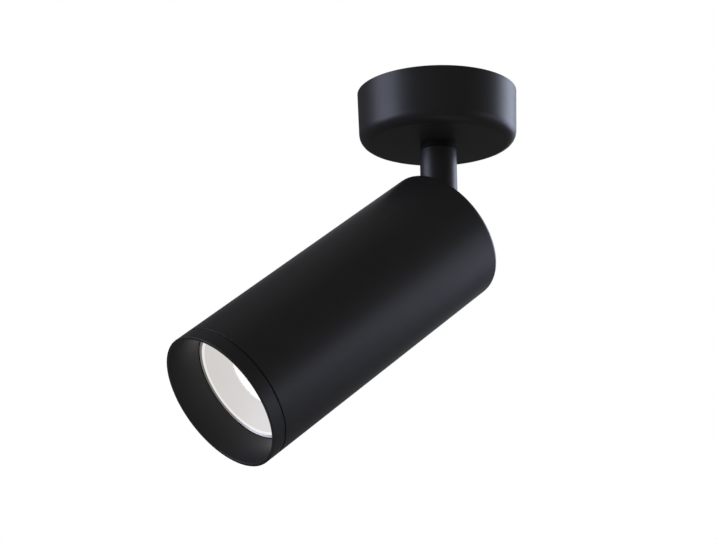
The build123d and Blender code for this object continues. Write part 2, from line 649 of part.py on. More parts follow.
def sector(angle, low, high):
    """Pie slice about Z, from +X turned by an angle in degrees."""
    reach = 2 * HOLDER_R
    far = math.radians(angle)
    face = make_face(
        Polyline((0, 0), (reach, 0), (reach * math.cos(far), reach * math.sin(far)), close=True)
    )
    return extrude(Pos(0, 0, low) * face, high - low)


def holder_contacts():
    """Two leaf contacts over the locked pins."""
    low = PIN_CAVITY_TOP - CONTACT_T
    half = CONTACT_W / 2
    leaves = [block(x - half, x + half, -half, half, low, PIN_CAVITY_TOP) for x, _ in pin_places()]
    return Compound([in_head(leaf) for leaf in leaves])


def holder_screws():
    """Two screws that hold the lampholder up to the strap."""
    screw = cap_screw(M3, STRAP_T + HOLDER_H / 4)
    places = (-HOLDER_SCREW_Y, HOLDER_SCREW_Y)
    return Compound([in_head(Pos(0, y, HOLDER_TOP + STRAP_T) * screw) for y in places])


# ---- front ring -----------------------------------------------------------------------------------
def front_ring():
    """Push-in ring with a conical black baffle, and a bevel along the seam."""
    lip, seam, mouth, rear = (from_lip(h) for h in (0, RING_L, RING_L + SEAM_W, RING_DEPTH))
    spigot_r = HEAD_BORE_R - PUSH_GAP
    ring = turned(
        [
            (RING_LIP_R, lip),
            (HEAD_R, lip),
            (HEAD_R, seam - SEAM_BEVEL),
            (HEAD_R - SEAM_BEVEL, seam),
            (HEAD_R - SEAM_DEPTH, seam),
            (HEAD_R - SEAM_DEPTH, mouth),
            (spigot_r, mouth),
            (spigot_r, rear),
            (BAFFLE_R, rear),
            (BAFFLE_R, from_lip(BAFFLE_DEPTH)),
        ],
        [((HEAD_R, lip), LIP_ROUND), ((RING_LIP_R, lip), LIP_ROUND)],
    )
    low = from_lip(O_RING_AT) - O_RING_GROOVE_W / 2
    high = low + O_RING_GROOVE_W
    return in_head(ring - (rod(HEAD_R, low, high) - rod(o_ring_seat_r(), low, high)))


def o_ring_seat_r():
    """Radius of the bottom of the O-ring groove."""
    return HEAD_BORE_R - PUSH_GAP - O_RING_GROOVE_DEPTH


def ring_o_ring():
    """Rubber O-ring whose grip keeps the front ring in."""
    middle = (o_ring_seat_r() + HEAD_BORE_R) / 2
    section = (HEAD_BORE_R - o_ring_seat_r()) / 2 - FACE_GAP
    return in_head(Pos(0, 0, from_lip(O_RING_AT)) * Torus(middle, section))


# ---- lamp -----------------------------------------------------------------------------------------
def shell_face(grow):
    """Half section of the lamp's body, grown outwards by this much."""
    base_z = LAMP_BASE - LAMP_BASE_L
    rim_z = LAMP_FACE + BEZEL_T
    rim_r = LAMP_R - BEZEL_ROUND + grow
    base_r = LAMP_BASE_R + grow
    middle = (base_r + 0.66 * (rim_r - base_r), rim_z + 0.45 * (base_z - rim_z))
    side = ThreePointArc((base_r, base_z), middle, (rim_r, rim_z + 2 * BEZEL_T))
    edges = [
        Line((0, LAMP_BASE), (base_r, LAMP_BASE)),
        Line((base_r, LAMP_BASE), (base_r, base_z)),
        side,
        Line((rim_r, rim_z + 2 * BEZEL_T), (rim_r, rim_z)),
        Line((rim_r, rim_z), (0, rim_z)),
        Line((0, rim_z), (0, LAMP_BASE)),
    ]
    return make_face(edges)


def lamp_shell():
    """Finned lamp body with its base and the plate that the light board sits on."""
    body = revolve(Plane.XZ * shell_face(0), Axis.Z)
    hollow = revolve(Plane.XZ * shell_face(-LAMP_SHELL_T), Axis.Z)
    plate = rod(LAMP_R, SINK_PLATE_Z, SINK_PLATE_Z + LAMP_SHELL_T)
    floor = rod(LAMP_R, LAMP_BASE - LAMP_SHELL_T, LAMP_BASE)
    shell = body - (hollow - plate - floor)
    fin_face = shell_face(FIN_H) - shell_face(-LAMP_SHELL_T / 2)
    fin = extrude(Plane.XZ * fin_face, FIN_T / 2, both=True)
    low, high = LAMP_FACE + 3 * BEZEL_T, LAMP_BASE - LAMP_BASE_L
    fin &= block(0, 2 * LAMP_R, -FIN_T, FIN_T, low, high)
    for i in range(FIN_COUNT):
        shell += Rot(0, 0, 360 * (i + 0.5) / FIN_COUNT) * fin
    for x, y in pin_places():
        shell -= rod(PIN_NECK_R, LAMP_BASE - LAMP_SHELL_T, LAMP_BASE, x, y)
    return in_head(shell)


def lamp_bezel():
    """White ring round the lamp's face."""
    inner_r = LAMP_R - BEZEL_W
    return in_head(
        turned(
            [
                (inner_r, LAMP_FACE),
                (LAMP_R, LAMP_FACE),
                (LAMP_R, LAMP_FACE + BEZEL_T),
                (inner_r, LAMP_FACE + BEZEL_T),
            ],
            [((LAMP_R, LAMP_FACE), BEZEL_ROUND)],
        )
    )


def lamp_reflector():
    """Satin cone from the bezel down to the lens."""
    front_r = LAMP_R - BEZEL_W - FACE_GAP
    return in_head(
        turned(
            [
                (front_r, LAMP_FACE + REFLECTOR_T),
                (front_r, LAMP_FACE + 2 * REFLECTOR_T),
                (LENS_R + REFLECTOR_T, LENS_FACE + REFLECTOR_T),
                (LENS_R, LENS_FACE),
            ]
        )
    )


def lamp_lens():
    """Frosted disc over the light board."""
    return in_head(rod(LENS_R - FACE_GAP, LENS_FACE, LENS_FACE + LENS_T))


def led_board():
    """Round metal-cored light board."""
    return in_head(rod(LED_BOARD_R, LED_BOARD_FACE, LED_BOARD_FACE + LED_BOARD_T))


def led_chips():
    """Light-emitting chips on the board."""
    half = LED_SIZE / 2
    low = LED_BOARD_FACE - LED_T
    chip = block(LED_CIRCLE_R - half, LED_CIRCLE_R + half, -half, half, low, LED_BOARD_FACE)
    return Compound([in_head(Rot(0, 0, 360 * i / LED_COUNT) * chip) for i in range(LED_COUNT)])


def driver_board():
    """Upright driver board in the lamp's neck."""
    top = LAMP_BASE - LAMP_SHELL_T - PIN_NECK_L
    board = block(-DRIVER_W / 2, DRIVER_W / 2, -DRIVER_T / 2, DRIVER_T / 2, top - DRIVER_L, top)
    reservoir_r = DRIVER_W / 5
    cap = rod(reservoir_r, top - DRIVER_L + DRIVER_T, top - DRIVER_L / 2, y=reservoir_r)
    return in_head(board + cap)


def lamp_pins():
    """Two pins with wide heads that lock in the lampholder's keyholes."""
    neck_top = LAMP_BASE + PIN_NECK_L
    low = LAMP_BASE - LAMP_SHELL_T
    pins = []
    for x, y in pin_places():
        pin = rod(PIN_NECK_R, low, neck_top, x, y) + rod(PIN_HEAD_R, neck_top, neck_top + PIN_HEAD_L, x, y)
        pins.append(in_head(pin))
    return Compound(pins)


# ---- wires, parted at each joint ------------------------------------------------------------------
def wire_circle():
    """X and Y of the three wires where they pass through the nipple."""
    places = []
    for x, y in wire_hole_places():
        scale = WIRE_CIRCLE_R / math.hypot(x, y)
        places.append((x * scale, y * scale))
    return places


def canopy_wire(core):
    """Wire of one core, from the terminal block to the top of the nipple."""
    x, y = wire_circle()[core]
    pole_x = pole_places()[sorted(wire_circle()).index((x, y))]
    start = BLOCK_NEAR_Y + TUBE_INSET * 2
    over = 3 * WIRE_R if y < 0 else 0  # the wire on the far side passes over the near ones
    run = [
        (pole_x, start, POLE_Z),
        (pole_x, start - 2 * WIRE_BEND_R, POLE_Z),
        (x, y, NIPPLE_TOP + WIRE_BEND_R + PLAY + over),
        (x, y, NIPPLE_TOP + FACE_GAP),
    ]
    return wire(run, WIRE_BEND_R / 2)


def stem_wire(core):
    """Wire of one core, down the stem and out beside the hinge tongue."""
    x, y = wire_circle()[core]
    far_x, far_y = stem_wire_ends()[core]
    run = [
        (x, y, NIPPLE_TOP - FACE_GAP),
        (x, y, STEM_TOP - NIPPLE_IN_STEM - WIRE_BEND_R),
        (far_x, far_y, PIVOT_Z + BORE_STOP + WIRE_BEND_R),
        (far_x, far_y, PIVOT_Z - ball_exit()),
    ]
    return wire(run)


def ball_exit():
    """How far below the tilt axis the wires come out of the stem's ball end."""
    return math.sqrt(STEM_R**2 - (STEM_BORE_R - RUN_GAP) ** 2)


def stem_wire_ends():
    """X and Y of the wires where they leave the stem: against the inner side of each hole."""
    reach = STEM_BORE_R - WIRE_R - RUN_GAP
    return [
        (x * reach / math.hypot(x, y), y * reach / math.hypot(x, y)) for x, y in wire_hole_places()
    ]


def to_head_frame(x, z):
    """A place below the tilt axis, as the head's own frame sees it at rest."""
    turn = math.radians(HEAD_TILT)
    return x * math.cos(turn) - z * math.sin(turn), x * math.sin(turn) + z * math.cos(turn)


def head_wire(core):
    """Wire of one core in the head: live and neutral to the lampholder, earth to its lug."""
    x, y = stem_wire_ends()[core]
    x0, z0 = to_head_frame(x, -STEM_R - PLAY)
    x1, z1 = to_head_frame(x, -STEM_R - 2.2 * WIRE_BEND_R)
    if CORES[core] == "earth":
        lug_z = BAR_BOTTOM - STRAP_T - LUG_T - WIRE_R
        end = [(x1, STRAP_SCREW_Y, lug_z), (LUG_R, STRAP_SCREW_Y, lug_z)]
        return in_head(wire([(x0, y, z0), (x1, y, z1), *end], WIRE_BEND_R / 2))
    far_x, far_y = holder_wire_places()[core]
    end = [(far_x, far_y, HOLDER_TOP / 2 + z1), (far_x, far_y, HOLDER_TOP - HOLDER_H / 4)]
    return in_head(wire([(x0, y, z0), (x1, y, z1), (x1, y, z1 - HINGE_BAR_AT), *end]))


PIECES = [
    canopy_cover,
    mounting_bracket,
    cup_screw,
    earth_screw,
    terminal_block,
    terminal_tubes,
    terminal_screws,
    swivel_bush,
    stem_nipple,
    stop_washer,
    spring_washer,
    swivel_nut,
    stem_tube,
    pivot_screw,
    pivot_nut,
    friction_washers,
    head_housing,
    hinge_bracket,
    hinge_screws,
    holder_strap,
    strap_screws,
    earth_lug,
    lampholder,
    holder_contacts,
    holder_screws,
    front_ring,
    ring_o_ring,
    lamp_shell,
    lamp_bezel,
    lamp_reflector,
    lamp_lens,
    led_board,
    led_chips,
    driver_board,
    lamp_pins,
]

os.makedirs("parts", exist_ok=True)
for piece in PIECES:
    export_step(piece(), f"parts/{piece.__name__}.step")
for number, core_name in enumerate(CORES):
    for run_of_wire in (canopy_wire, stem_wire, head_wire):
        export_step(run_of_wire(number), f"parts/{run_of_wire.__name__}_{core_name}.step")
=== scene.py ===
"""Looks of a surface mounted ceiling spotlight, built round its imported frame.

Sizes are millimetres until a mesh is made. The scene is in metres and in the frame's axes: +Z up
into the ceiling, the head pointing towards -X and down, the tilt axis along Y.
"""

import json
import logging
import math
from collections.abc import Callable, Sequence
from dataclasses import dataclass
from enum import Enum

import bmesh
import bpy
from mathutils import Matrix, Vector


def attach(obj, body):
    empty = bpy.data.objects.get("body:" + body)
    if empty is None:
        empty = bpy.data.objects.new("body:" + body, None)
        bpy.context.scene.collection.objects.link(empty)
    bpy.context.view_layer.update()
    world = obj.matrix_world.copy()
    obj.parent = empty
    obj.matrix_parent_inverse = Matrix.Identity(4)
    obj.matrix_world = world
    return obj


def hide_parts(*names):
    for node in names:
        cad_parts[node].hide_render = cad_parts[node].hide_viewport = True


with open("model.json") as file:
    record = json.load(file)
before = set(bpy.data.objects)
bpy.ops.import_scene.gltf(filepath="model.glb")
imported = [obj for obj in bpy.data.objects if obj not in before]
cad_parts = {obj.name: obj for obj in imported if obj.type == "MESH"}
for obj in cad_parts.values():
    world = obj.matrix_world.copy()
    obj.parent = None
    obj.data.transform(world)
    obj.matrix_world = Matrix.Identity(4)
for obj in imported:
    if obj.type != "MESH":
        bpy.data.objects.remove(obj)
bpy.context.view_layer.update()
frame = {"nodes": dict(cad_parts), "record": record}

LOG = logging.getLogger("spotlight")
MM = 0.001
ROUND_STEPS = 6
LATHE_SEGMENTS, FINE_SEGMENTS = 192, 256
ON_AXIS = 1e-6  # a radius below this is a point on the axis
OVERSHOOT = 1.0  # how far a tool runs past the surface it cuts, or a boss into the wall it joins
ALONG_X = Matrix.Rotation(math.radians(90), 4, "Y")  # turns +Z to +X
ALONG_Y = Matrix.Rotation(math.radians(90), 4, "X")  # turns +Z to -Y

Piece = bpy.types.Object
Node = bpy.types.Node
Socket = bpy.types.NodeSocket
Corner = tuple[float, float, float]  # radius, height and rounding
Flat = tuple[float, float]
Outline = list[Flat]
Span = tuple[float, float]
Point = tuple[float, float, float]
Colour = tuple[float, float, float]


class Body(Enum):
    """Bodies of the frame that pieces ride on."""

    CANOPY = "canopy"
    STEM = "stem"
    HEAD = "head"
    RING = "front_ring"
    LAMP = "lamp"


# ---- meshes ----
def rounded_corner(before: Flat, corner: Flat, after: Flat, radius: float) -> Outline:
    """Points of the arc that rounds one corner of an outline.

    Args:
        before: Neighbouring corner on one side.
        corner: The corner itself.
        after: Neighbouring corner on the other side.
        radius: Radius of the arc, or 0 to keep the corner.

    Returns:
        The corner alone, or the arc's points in order.
    """
    here = Vector(corner)
    if radius <= 0:
        return [corner]
    one, two = (Vector(before) - here).normalized(), (Vector(after) - here).normalized()
    half = one.angle(two) / 2
    centre = here + (one + two).normalized() * radius / math.sin(half)
    start = here + one * radius / math.tan(half) - centre
    end = here + two * radius / math.tan(half) - centre
    sweep = math.atan2(start.x * end.y - start.y * end.x, start.dot(end))
    points = []
    for step in range(ROUND_STEPS + 1):
        turn = Matrix.Rotation(sweep * step / ROUND_STEPS, 2)
        points.append(tuple(centre + turn @ start))
    return points


def outline(corners: list[Corner]) -> Outline:
    """Outline with its corners rounded.

    Args:
        corners: Radius, height and rounding of each corner, in order.

    Returns:
        The outline's points.
    """
    flat = [(r, z) for r, z, _ in corners]
    points: Outline = []
    for i, (_, _, rounding) in enumerate(corners):
        points += rounded_corner(flat[i - 1], flat[i], flat[(i + 1) % len(flat)], rounding)
    return points


def make_object(name: str, mesh: bmesh.types.BMesh, place: Matrix) -> Piece:
    """Turns a bmesh in millimetres into an object in metres.

    Args:
        name: Name of the object and its mesh.
        mesh: The bmesh, which is freed.
        place: Where the piece goes, in millimetres.

    Returns:
        The linked object, at the origin, with its place in its mesh.
    """
    bmesh.ops.transform(mesh, matrix=Matrix.Scale(MM, 4) @ place, verts=mesh.verts)
    bmesh.ops.recalc_face_normals(mesh, faces=mesh.faces)
    data = bpy.data.meshes.new(name)
    mesh.to_mesh(data)
    mesh.free()
    piece = bpy.data.objects.new(name, data)
    bpy.context.scene.collection.objects.link(piece)
    return piece


def shift(x: float = 0.0, y: float = 0.0, z: float = 0.0) -> Matrix:
    """Place that only moves a piece, in millimetres."""
    return Matrix.Translation((x, y, z))


def move(piece: Piece, place: Matrix) -> None:
    """Moves the mesh of a piece that is made already.

    Args:
        piece: The piece.
        place: The move, in millimetres.
    """
    metres = place.copy()
    metres.translation = place.translation * MM
    piece.data.transform(metres)


def lathe(
    name: str, corners: list[Corner], place: Matrix = Matrix(), segments: int = LATHE_SEGMENTS
) -> Piece:
    """Piece turned about Z.

    Args:
        name: Name of the piece.
        corners: Outline corners as radius, height and rounding. One that starts and ends on the
            axis is left open there.
        place: Where the piece goes, in millimetres.
        segments: Steps round the axis.

    Returns:
        The piece.
    """
    points = outline(corners)
    mesh = bmesh.new()
    loops = []
    for r, z in points:
        if r < ON_AXIS:
            loops.append([mesh.verts.new((0, 0, z))])
            continue
        turns = (math.tau * i / segments for i in range(segments))
        loops.append([mesh.verts.new((r * math.cos(a), r * math.sin(a), z)) for a in turns])
    on_axis = points[0][0] < ON_AXIS and points[-1][0] < ON_AXIS
    for k in range(len(loops) - (1 if on_axis else 0)):
        low, high = loops[k], loops[(k + 1) % len(loops)]
        for i in range(segments):
            j = (i + 1) % segments
            ring = [low[i % len(low)], low[j % len(low)], high[j % len(high)], high[i % len(high)]]
            face = list(dict.fromkeys(ring))
            if len(face) > 2:
                mesh.faces.new(face)
    return make_object(name, mesh, place)


def rod(name: str, radius: float, start: float, end: float, place: Matrix, segments: int) -> Piece:
    """Plain round bar about Z, between two heights."""
    corners = [(0, start, 0), (radius, start, 0), (radius, end, 0), (0, end, 0)]
    return lathe(name, corners, place, segments)


def prism(name: str, sections: list[tuple[float, Outline]], place: Matrix = Matrix()) -> Piece:
    """Solid through outlines of equal count at several heights.

    Args:
        name: Name of the piece.
        sections: Height and outline of each section, from one end to the other.
        place: Where the piece goes, in millimetres.

    Returns:
        The piece.
    """
    mesh = bmesh.new()
    loops = [[mesh.verts.new((x, y, z)) for x, y in points] for z, points in sections]
    for low, high in zip(loops, loops[1:]):
        for i in range(len(low)):
            j = (i + 1) % len(low)
            mesh.faces.new((low[i], low[j], high[j], high[i]))
    mesh.faces.new(loops[0])
    mesh.faces.new(loops[-1])
    return make_object(name, mesh, place)


def bar(name: str, points: Outline, start: float, end: float, place: Matrix = Matrix()) -> Piece:
    """Prism of one outline between two heights."""
    return prism(name, [(start, points), (end, points)], place)


def oval(length: float, radius: float, grow: float = 0.0, steps: int = 48) -> Outline:
    """Slot outline with round ends at x = 0 and x = -length.

    Args:
        length: Between the centres of the two ends.
        radius: Radius of the ends.
        grow: Added all round.
        steps: Steps on each end.

    Returns:
        The outline's points.
    """
    points = []
    for centre, first in ((0.0, -90), (-length, 90)):
        for i in range(steps + 1):
            a = math.radians(first + 180 * i / steps)
            points.append((centre + (radius + grow) * math.cos(a), (radius + grow) * math.sin(a)))
    return points


def polygon(radius: float, sides: int) -> Outline:
    """Regular outline with its corners on a circle."""
    turns = (math.tau * (i + 0.5) / sides for i in range(sides))
    return [(radius * math.cos(a), radius * math.sin(a)) for a in turns]


def rectangle(x0: float, x1: float, y0: float, y1: float) -> Outline:
    """Rectangular outline between two corners."""
    return [(x0, y0), (x1, y0), (x1, y1), (x0, y1)]


def combine(piece: Piece, tools: Sequence[Piece], operation: str = "DIFFERENCE") -> Piece:
    """Cuts tools out of a piece, or joins them to it, and removes them.

    Args:
        piece: The piece that is changed.
        tools: Solids to cut away or to add.
        operation: Boolean operation, as Blender names it.

    Returns:
        The same piece, with its new mesh.
    """
    for tool in tools:
        step = piece.modifiers.new("combine", "BOOLEAN")
        step.operation, step.solver, step.object = operation, "EXACT", tool
        bpy.context.view_layer.update()
        result = bpy.data.meshes.new_from_object(
            piece.evaluated_get(bpy.context.evaluated_depsgraph_get())
        )
        piece.modifiers.clear()
        old, piece.data = piece.data, result
        bpy.data.meshes.remove(old)
        bpy.data.objects.remove(tool)
    piece.data.name = piece.name
    return piece


def shade(piece: Piece, sharp_degrees: float = 38.0) -> Piece:
    """Smooth shading with crisp edges and even normals.

    Args:
        piece: The piece.
        sharp_degrees: Edges that turn more than this stay sharp.

    Returns:
        The same piece.
    """
    piece.data.shade_smooth()
    piece.data.set_sharp_from_angle(angle=math.radians(sharp_degrees))
    normals = piece.modifiers.new("even_normals", "WEIGHTED_NORMAL")
    normals.keep_sharp = True
    return piece


# ---- shader nodes ----
class NodeSheet:
    """Short way to add and join nodes in one shader tree."""

    def __init__(self, tree: bpy.types.NodeTree) -> None:
        """Starts on an empty tree."""
        self.tree = tree
        tree.nodes.clear()

    def add(self, kind: str, settings: dict | None = None, **inputs: object) -> Node:
        """Adds a node.

        Args:
            kind: Node type without its ShaderNode prefix, or a full type name.
            settings: Attributes of the node.
            **inputs: Values of its input sockets, or sockets to join to them. An input goes by its
                name, with _ for spaces, or by its place, as i0, i1 and so on.

        Returns:
            The node.
        """
        full = kind if kind.startswith("Node") else f"ShaderNode{kind}"
        node = self.tree.nodes.new(full)
        for key, value in (settings or {}).items():
            setattr(node, key, value)
        for key, value in inputs.items():
            name = key.replace("_", " ")
            socket = node.inputs[int(key[1:])] if key[1:].isdigit() else node.inputs[name]
            if isinstance(value, Socket):
                self.tree.links.new(value, socket)
            else:
                socket.default_value = value
        return node

    def math(
        self, operation: str, first: object, second: object = 0.0, clamp: bool = False
    ) -> Socket:
        """Result of one Math node."""
        node = self.add("Math", {"operation": operation, "use_clamp": clamp}, i0=first, i1=second)
        return node.outputs[0]

    def vector(
        self, operation: str, output: str, first: object, second: object = (0.0, 0.0, 0.0)
    ) -> Socket:
        """Result of one Vector Math node, from its output Vector or Value."""
        node = self.add("VectorMath", {"operation": operation}, i0=first, i1=second)
        return node.outputs[output]

    def spread(self, value: object, source: Span, result: Span = (0.0, 1.0)) -> Socket:
        """Value mapped from one span to another, clamped."""
        names = ("From_Min", "From_Max", "To_Min", "To_Max")
        return self.add("MapRange", Value=value, **dict(zip(names, (*source, *result)))).outputs[0]

    def blend(self, factor: object, first: object, second: object) -> Socket:
        """Two colours mixed by a factor."""
        node = self.add("Mix", {"data_type": "RGBA"}, i0=factor, i6=first, i7=second)
        return node.outputs[2]

    def close(self, kind: str, surface: Socket) -> None:
        """Joins the finished surface to the tree's output node."""
        way_out = self.add(kind)
        self.tree.links.new(surface, way_out.inputs["Surface"])


def make_group(
    name: str,
    inputs: Sequence[tuple[str, str, float]],
    outputs: Sequence[tuple[str, str]],
    fill: Callable[[NodeSheet, Node], dict[str, Socket]],
) -> bpy.types.NodeTree:
    """Shader node group with named sockets.

    Args:
        name: Name of the group.
        inputs: Name, socket type and default of each input.
        outputs: Name and socket type of each output.
        fill: Builds the inside and returns what each output is joined to.

    Returns:
        The group.
    """
    group = bpy.data.node_groups.new(name, "ShaderNodeTree")
    for label, kind, value in inputs:
        group.interface.new_socket(label, in_out="INPUT", socket_type=kind).default_value = value
    for label, kind in outputs:
        group.interface.new_socket(label, in_out="OUTPUT", socket_type=kind)
    sheet = NodeSheet(group)
    entry = sheet.add("NodeGroupInput")
    way_out = sheet.add("NodeGroupOutput")
    for label, socket in fill(sheet, entry).items():
        group.links.new(socket, way_out.inputs[label])
    return group


FLOAT = "NodeSocketFloat"
NOISE_MEAN = 0.5
WIDE_SCALE = 0.06  # of the wide waves, as a share of the fine grain's
FINE_SHARE, WIDE_SHARE = 0.7, 0.3  # of the grain's height
DUST_SPAN = (0.35, 0.75)  # noise from bare to dusty
FACING_SPAN, FACING_DUST = (-0.2, 1.0), (0.25, 1.0)  # how far up a face looks, and its dust
LINE_STRETCH = (0.04, 1.0, 1.0)


def rough_with(sheet: NodeSheet, entry: Node, level: Socket) -> Socket:
    """Roughness that swings with the height of the surface.

    Args:
        sheet: The group's nodes.
        entry: The group's inputs, among them Roughness and Swing.
        level: Height of the surface.

    Returns:
        The roughness.
    """
    offset = sheet.math("SUBTRACT", level, NOISE_MEAN)
    swing = sheet.math("MULTIPLY", offset, entry.outputs["Swing"])
    return sheet.math("ADD", entry.outputs["Roughness"], swing, clamp=True)


def fill_grain(sheet: NodeSheet, entry: Node) -> dict[str, Socket]:
    """Fine even texture of a coat or a moulded skin: its height, and a roughness that follows it.

    Args:
        sheet: The group's nodes.
        entry: The group's inputs.

    Returns:
        What each output is joined to.
    """
    place, scale = sheet.add("TexCoord").outputs["Object"], entry.outputs["Scale"]
    fine = sheet.add("TexNoise", Vector=place, Scale=scale, Detail=3.0, Roughness=0.55)
    wide_scale = sheet.math("MULTIPLY", scale, WIDE_SCALE)
    wide = sheet.add("TexNoise", Vector=place, Scale=wide_scale, Detail=2.0, Roughness=0.5)
    level = sheet.math(
        "ADD",
        sheet.math("MULTIPLY", fine.outputs[0], FINE_SHARE),
        sheet.math("MULTIPLY", wide.outputs[0], WIDE_SHARE),
    )
    return {"Height": level, "Roughness": rough_with(sheet, entry, level)}


def fill_film(sheet: NodeSheet, entry: Node) -> dict[str, Socket]:
    """Faint film of dust: patchy, and thicker on what faces up.

    Args:
        sheet: The group's nodes.
        entry: The group's inputs.

    Returns:
        What each output is joined to.
    """
    place, scale = sheet.add("TexCoord").outputs["Object"], entry.outputs["Scale"]
    cloud = sheet.add("TexNoise", Vector=place, Scale=scale, Detail=4.0, Roughness=0.6)
    patch = sheet.spread(cloud.outputs[0], DUST_SPAN)
    split = sheet.add("SeparateXYZ", Vector=sheet.add("NewGeometry").outputs["Normal"])
    facing = sheet.spread(split.outputs["Z"], FACING_SPAN, FACING_DUST)
    cover = sheet.math("MULTIPLY", patch, facing)
    return {"Mask": sheet.math("MULTIPLY", cover, entry.outputs["Amount"], clamp=True)}


def fill_lines(sheet: NodeSheet, entry: Node) -> dict[str, Socket]:
    """Fine drawn or rolled lines of a bare metal, stretched along X: height and roughness.

    Args:
        sheet: The group's nodes.
        entry: The group's inputs.

    Returns:
        What each output is joined to.
    """
    place, scale = sheet.add("TexCoord").outputs["Object"], entry.outputs["Scale"]
    drawn = sheet.add("Mapping", Vector=place, Scale=LINE_STRETCH).outputs[0]
    lines = sheet.add("TexNoise", Vector=drawn, Scale=scale, Detail=5.0, Roughness=0.65)
    level = lines.outputs[0]
    return {"Height": level, "Roughness": rough_with(sheet, entry, level)}


class Effects:
    """Node groups that the finishes share, each made once."""

    def __init__(self) -> None:
        """Makes the groups."""
        surface = [("Scale", FLOAT, 900.0), ("Roughness", FLOAT, 0.5), ("Swing", FLOAT, 0.1)]
        both = [("Height", FLOAT), ("Roughness", FLOAT)]
        film = [("Scale", FLOAT, 60.0), ("Amount", FLOAT, 0.1)]
        self.grain = make_group("surface_grain", surface, both, fill_grain)
        self.lines = make_group("drawn_lines", surface, both, fill_lines)
        self.film = make_group("dust_film", film, [("Mask", FLOAT)], fill_film)


# ---- finishes ----
@dataclass(frozen=True)
class Finish:
    """Surface finish of a piece: the part that every finish shares."""

    name: str
    colour: Colour
    roughness: float = 0.5
    swing: float = 0.1
    grain_scale: float = 1800.0
    depth_mm: float = 0.02
    metallic: float = 0.0
    specular: float = 0.5
    mottle: float = 0.12
    mottle_span: Span = (0.3, 0.7)
    dust: float = 0.05
    dust_scale: float = 45.0
    dust_colour: Colour = (0.30, 0.29, 0.28)
    drawn: bool = False

    def base(self, sheet: NodeSheet, effects: Effects, height: Socket) -> Socket:
        """Base colour: the plain colour, mottled a little by the surface, under a film of dust.

        Args:
            sheet: The material's nodes.
            effects: The shared groups.
            height: Height of the surface.

        Returns:
            The colour socket.
        """
        light = tuple(min(1.0, c * (1 + self.mottle)) for c in self.colour)
        dark = tuple(c * (1 - self.mottle) for c in self.colour)
        body = sheet.blend(sheet.spread(height, self.mottle_span), (*dark, 1.0), (*light, 1.0))
        settings = {"node_tree": effects.film}
        film = sheet.add("Group", settings, Scale=self.dust_scale, Amount=self.dust)
        return sheet.blend(film.outputs["Mask"], body, (*self.dust_colour, 1.0))

    def extra(self, sheet: NodeSheet, shader: Node) -> None:
        """What one kind of finish adds to the shader: nothing here."""

    def material(self, effects: Effects) -> bpy.types.Material:
        """Makes the material.

        Args:
            effects: The shared groups.

        Returns:
            The material.
        """
        made = bpy.data.materials.new(self.name)
        made.use_nodes = True
        sheet = NodeSheet(made.node_tree)
        surface = sheet.add(
            "Group",
            {"node_tree": effects.lines if self.drawn else effects.grain},
            Scale=self.grain_scale,
            Roughness=self.roughness,
            Swing=self.swing,
        )
        height = surface.outputs["Height"]
        bump = sheet.add("Bump", Height=height, Strength=1.0, Distance=self.depth_mm * MM)
        shader = sheet.add(
            "BsdfPrincipled",
            Base_Color=self.base(sheet, effects, height),
            Roughness=surface.outputs["Roughness"],
            Normal=bump.outputs[0],
            Metallic=self.metallic,
            Specular_IOR_Level=self.specular,
        )
        self.extra(sheet, shader)
        sheet.close("OutputMaterial", shader.outputs[0])
        made.diffuse_color = (*self.colour, 1.0)
        return made


@dataclass(frozen=True)
class PowderCoat(Finish):
    """Fine matt powder coat."""

    roughness: float = 0.42
    swing: float = 0.14
    grain_scale: float = 2600.0
    depth_mm: float = 0.006
    dust: float = 0.006


@dataclass(frozen=True)
class BareMetal(Finish):
    """Plated, rolled or turned metal."""

    roughness: float = 0.32
    swing: float = 0.25
    grain_scale: float = 1400.0
    depth_mm: float = 0.01
    metallic: float = 1.0
    dust: float = 0.04
    drawn: bool = True


@dataclass(frozen=True)
class Moulded(Finish):
    """Moulded plastic, rubber or pressed ceramic."""

    roughness: float = 0.5
    grain_scale: float = 1500.0
    depth_mm: float = 0.008
    mottle: float = 0.04


@dataclass(frozen=True)
class StripedSleeve(Moulded):
    """Wire sleeve with a second colour in long stripes."""

    stripe: Colour = (0.75, 0.55, 0.03)
    stripe_scale: float = 260.0
    stripe_span: Span = (0.45, 0.55)

    def base(self, sheet: NodeSheet, effects: Effects, height: Socket) -> Socket:
        """Base colour with the stripes over it.

        Args:
            sheet: The material's nodes.
            effects: The shared groups.
            height: Height of the surface.

        Returns:
            The colour socket.
        """
        plain = super().base(sheet, effects, height)
        place = sheet.add("TexCoord").outputs["Object"]
        wave = sheet.add("TexWave", {"bands_direction": "Y"}, Vector=place, Scale=self.stripe_scale)
        mask = sheet.spread(wave.outputs[1], self.stripe_span)
        return sheet.blend(mask, plain, (*self.stripe, 1.0))


@dataclass(frozen=True)
class Diffuser(Moulded):
    """Frosted disc over the light board, faintly lit from behind."""

    glow: float = 0.5
    glow_colour: Colour = (1.0, 1.0, 1.0)

    def extra(self, sheet: NodeSheet, shader: Node) -> None:
        """Adds the glow."""
        shader.inputs["Emission Color"].default_value = (*self.glow_colour, 1.0)
        shader.inputs["Emission Strength"].default_value = self.glow


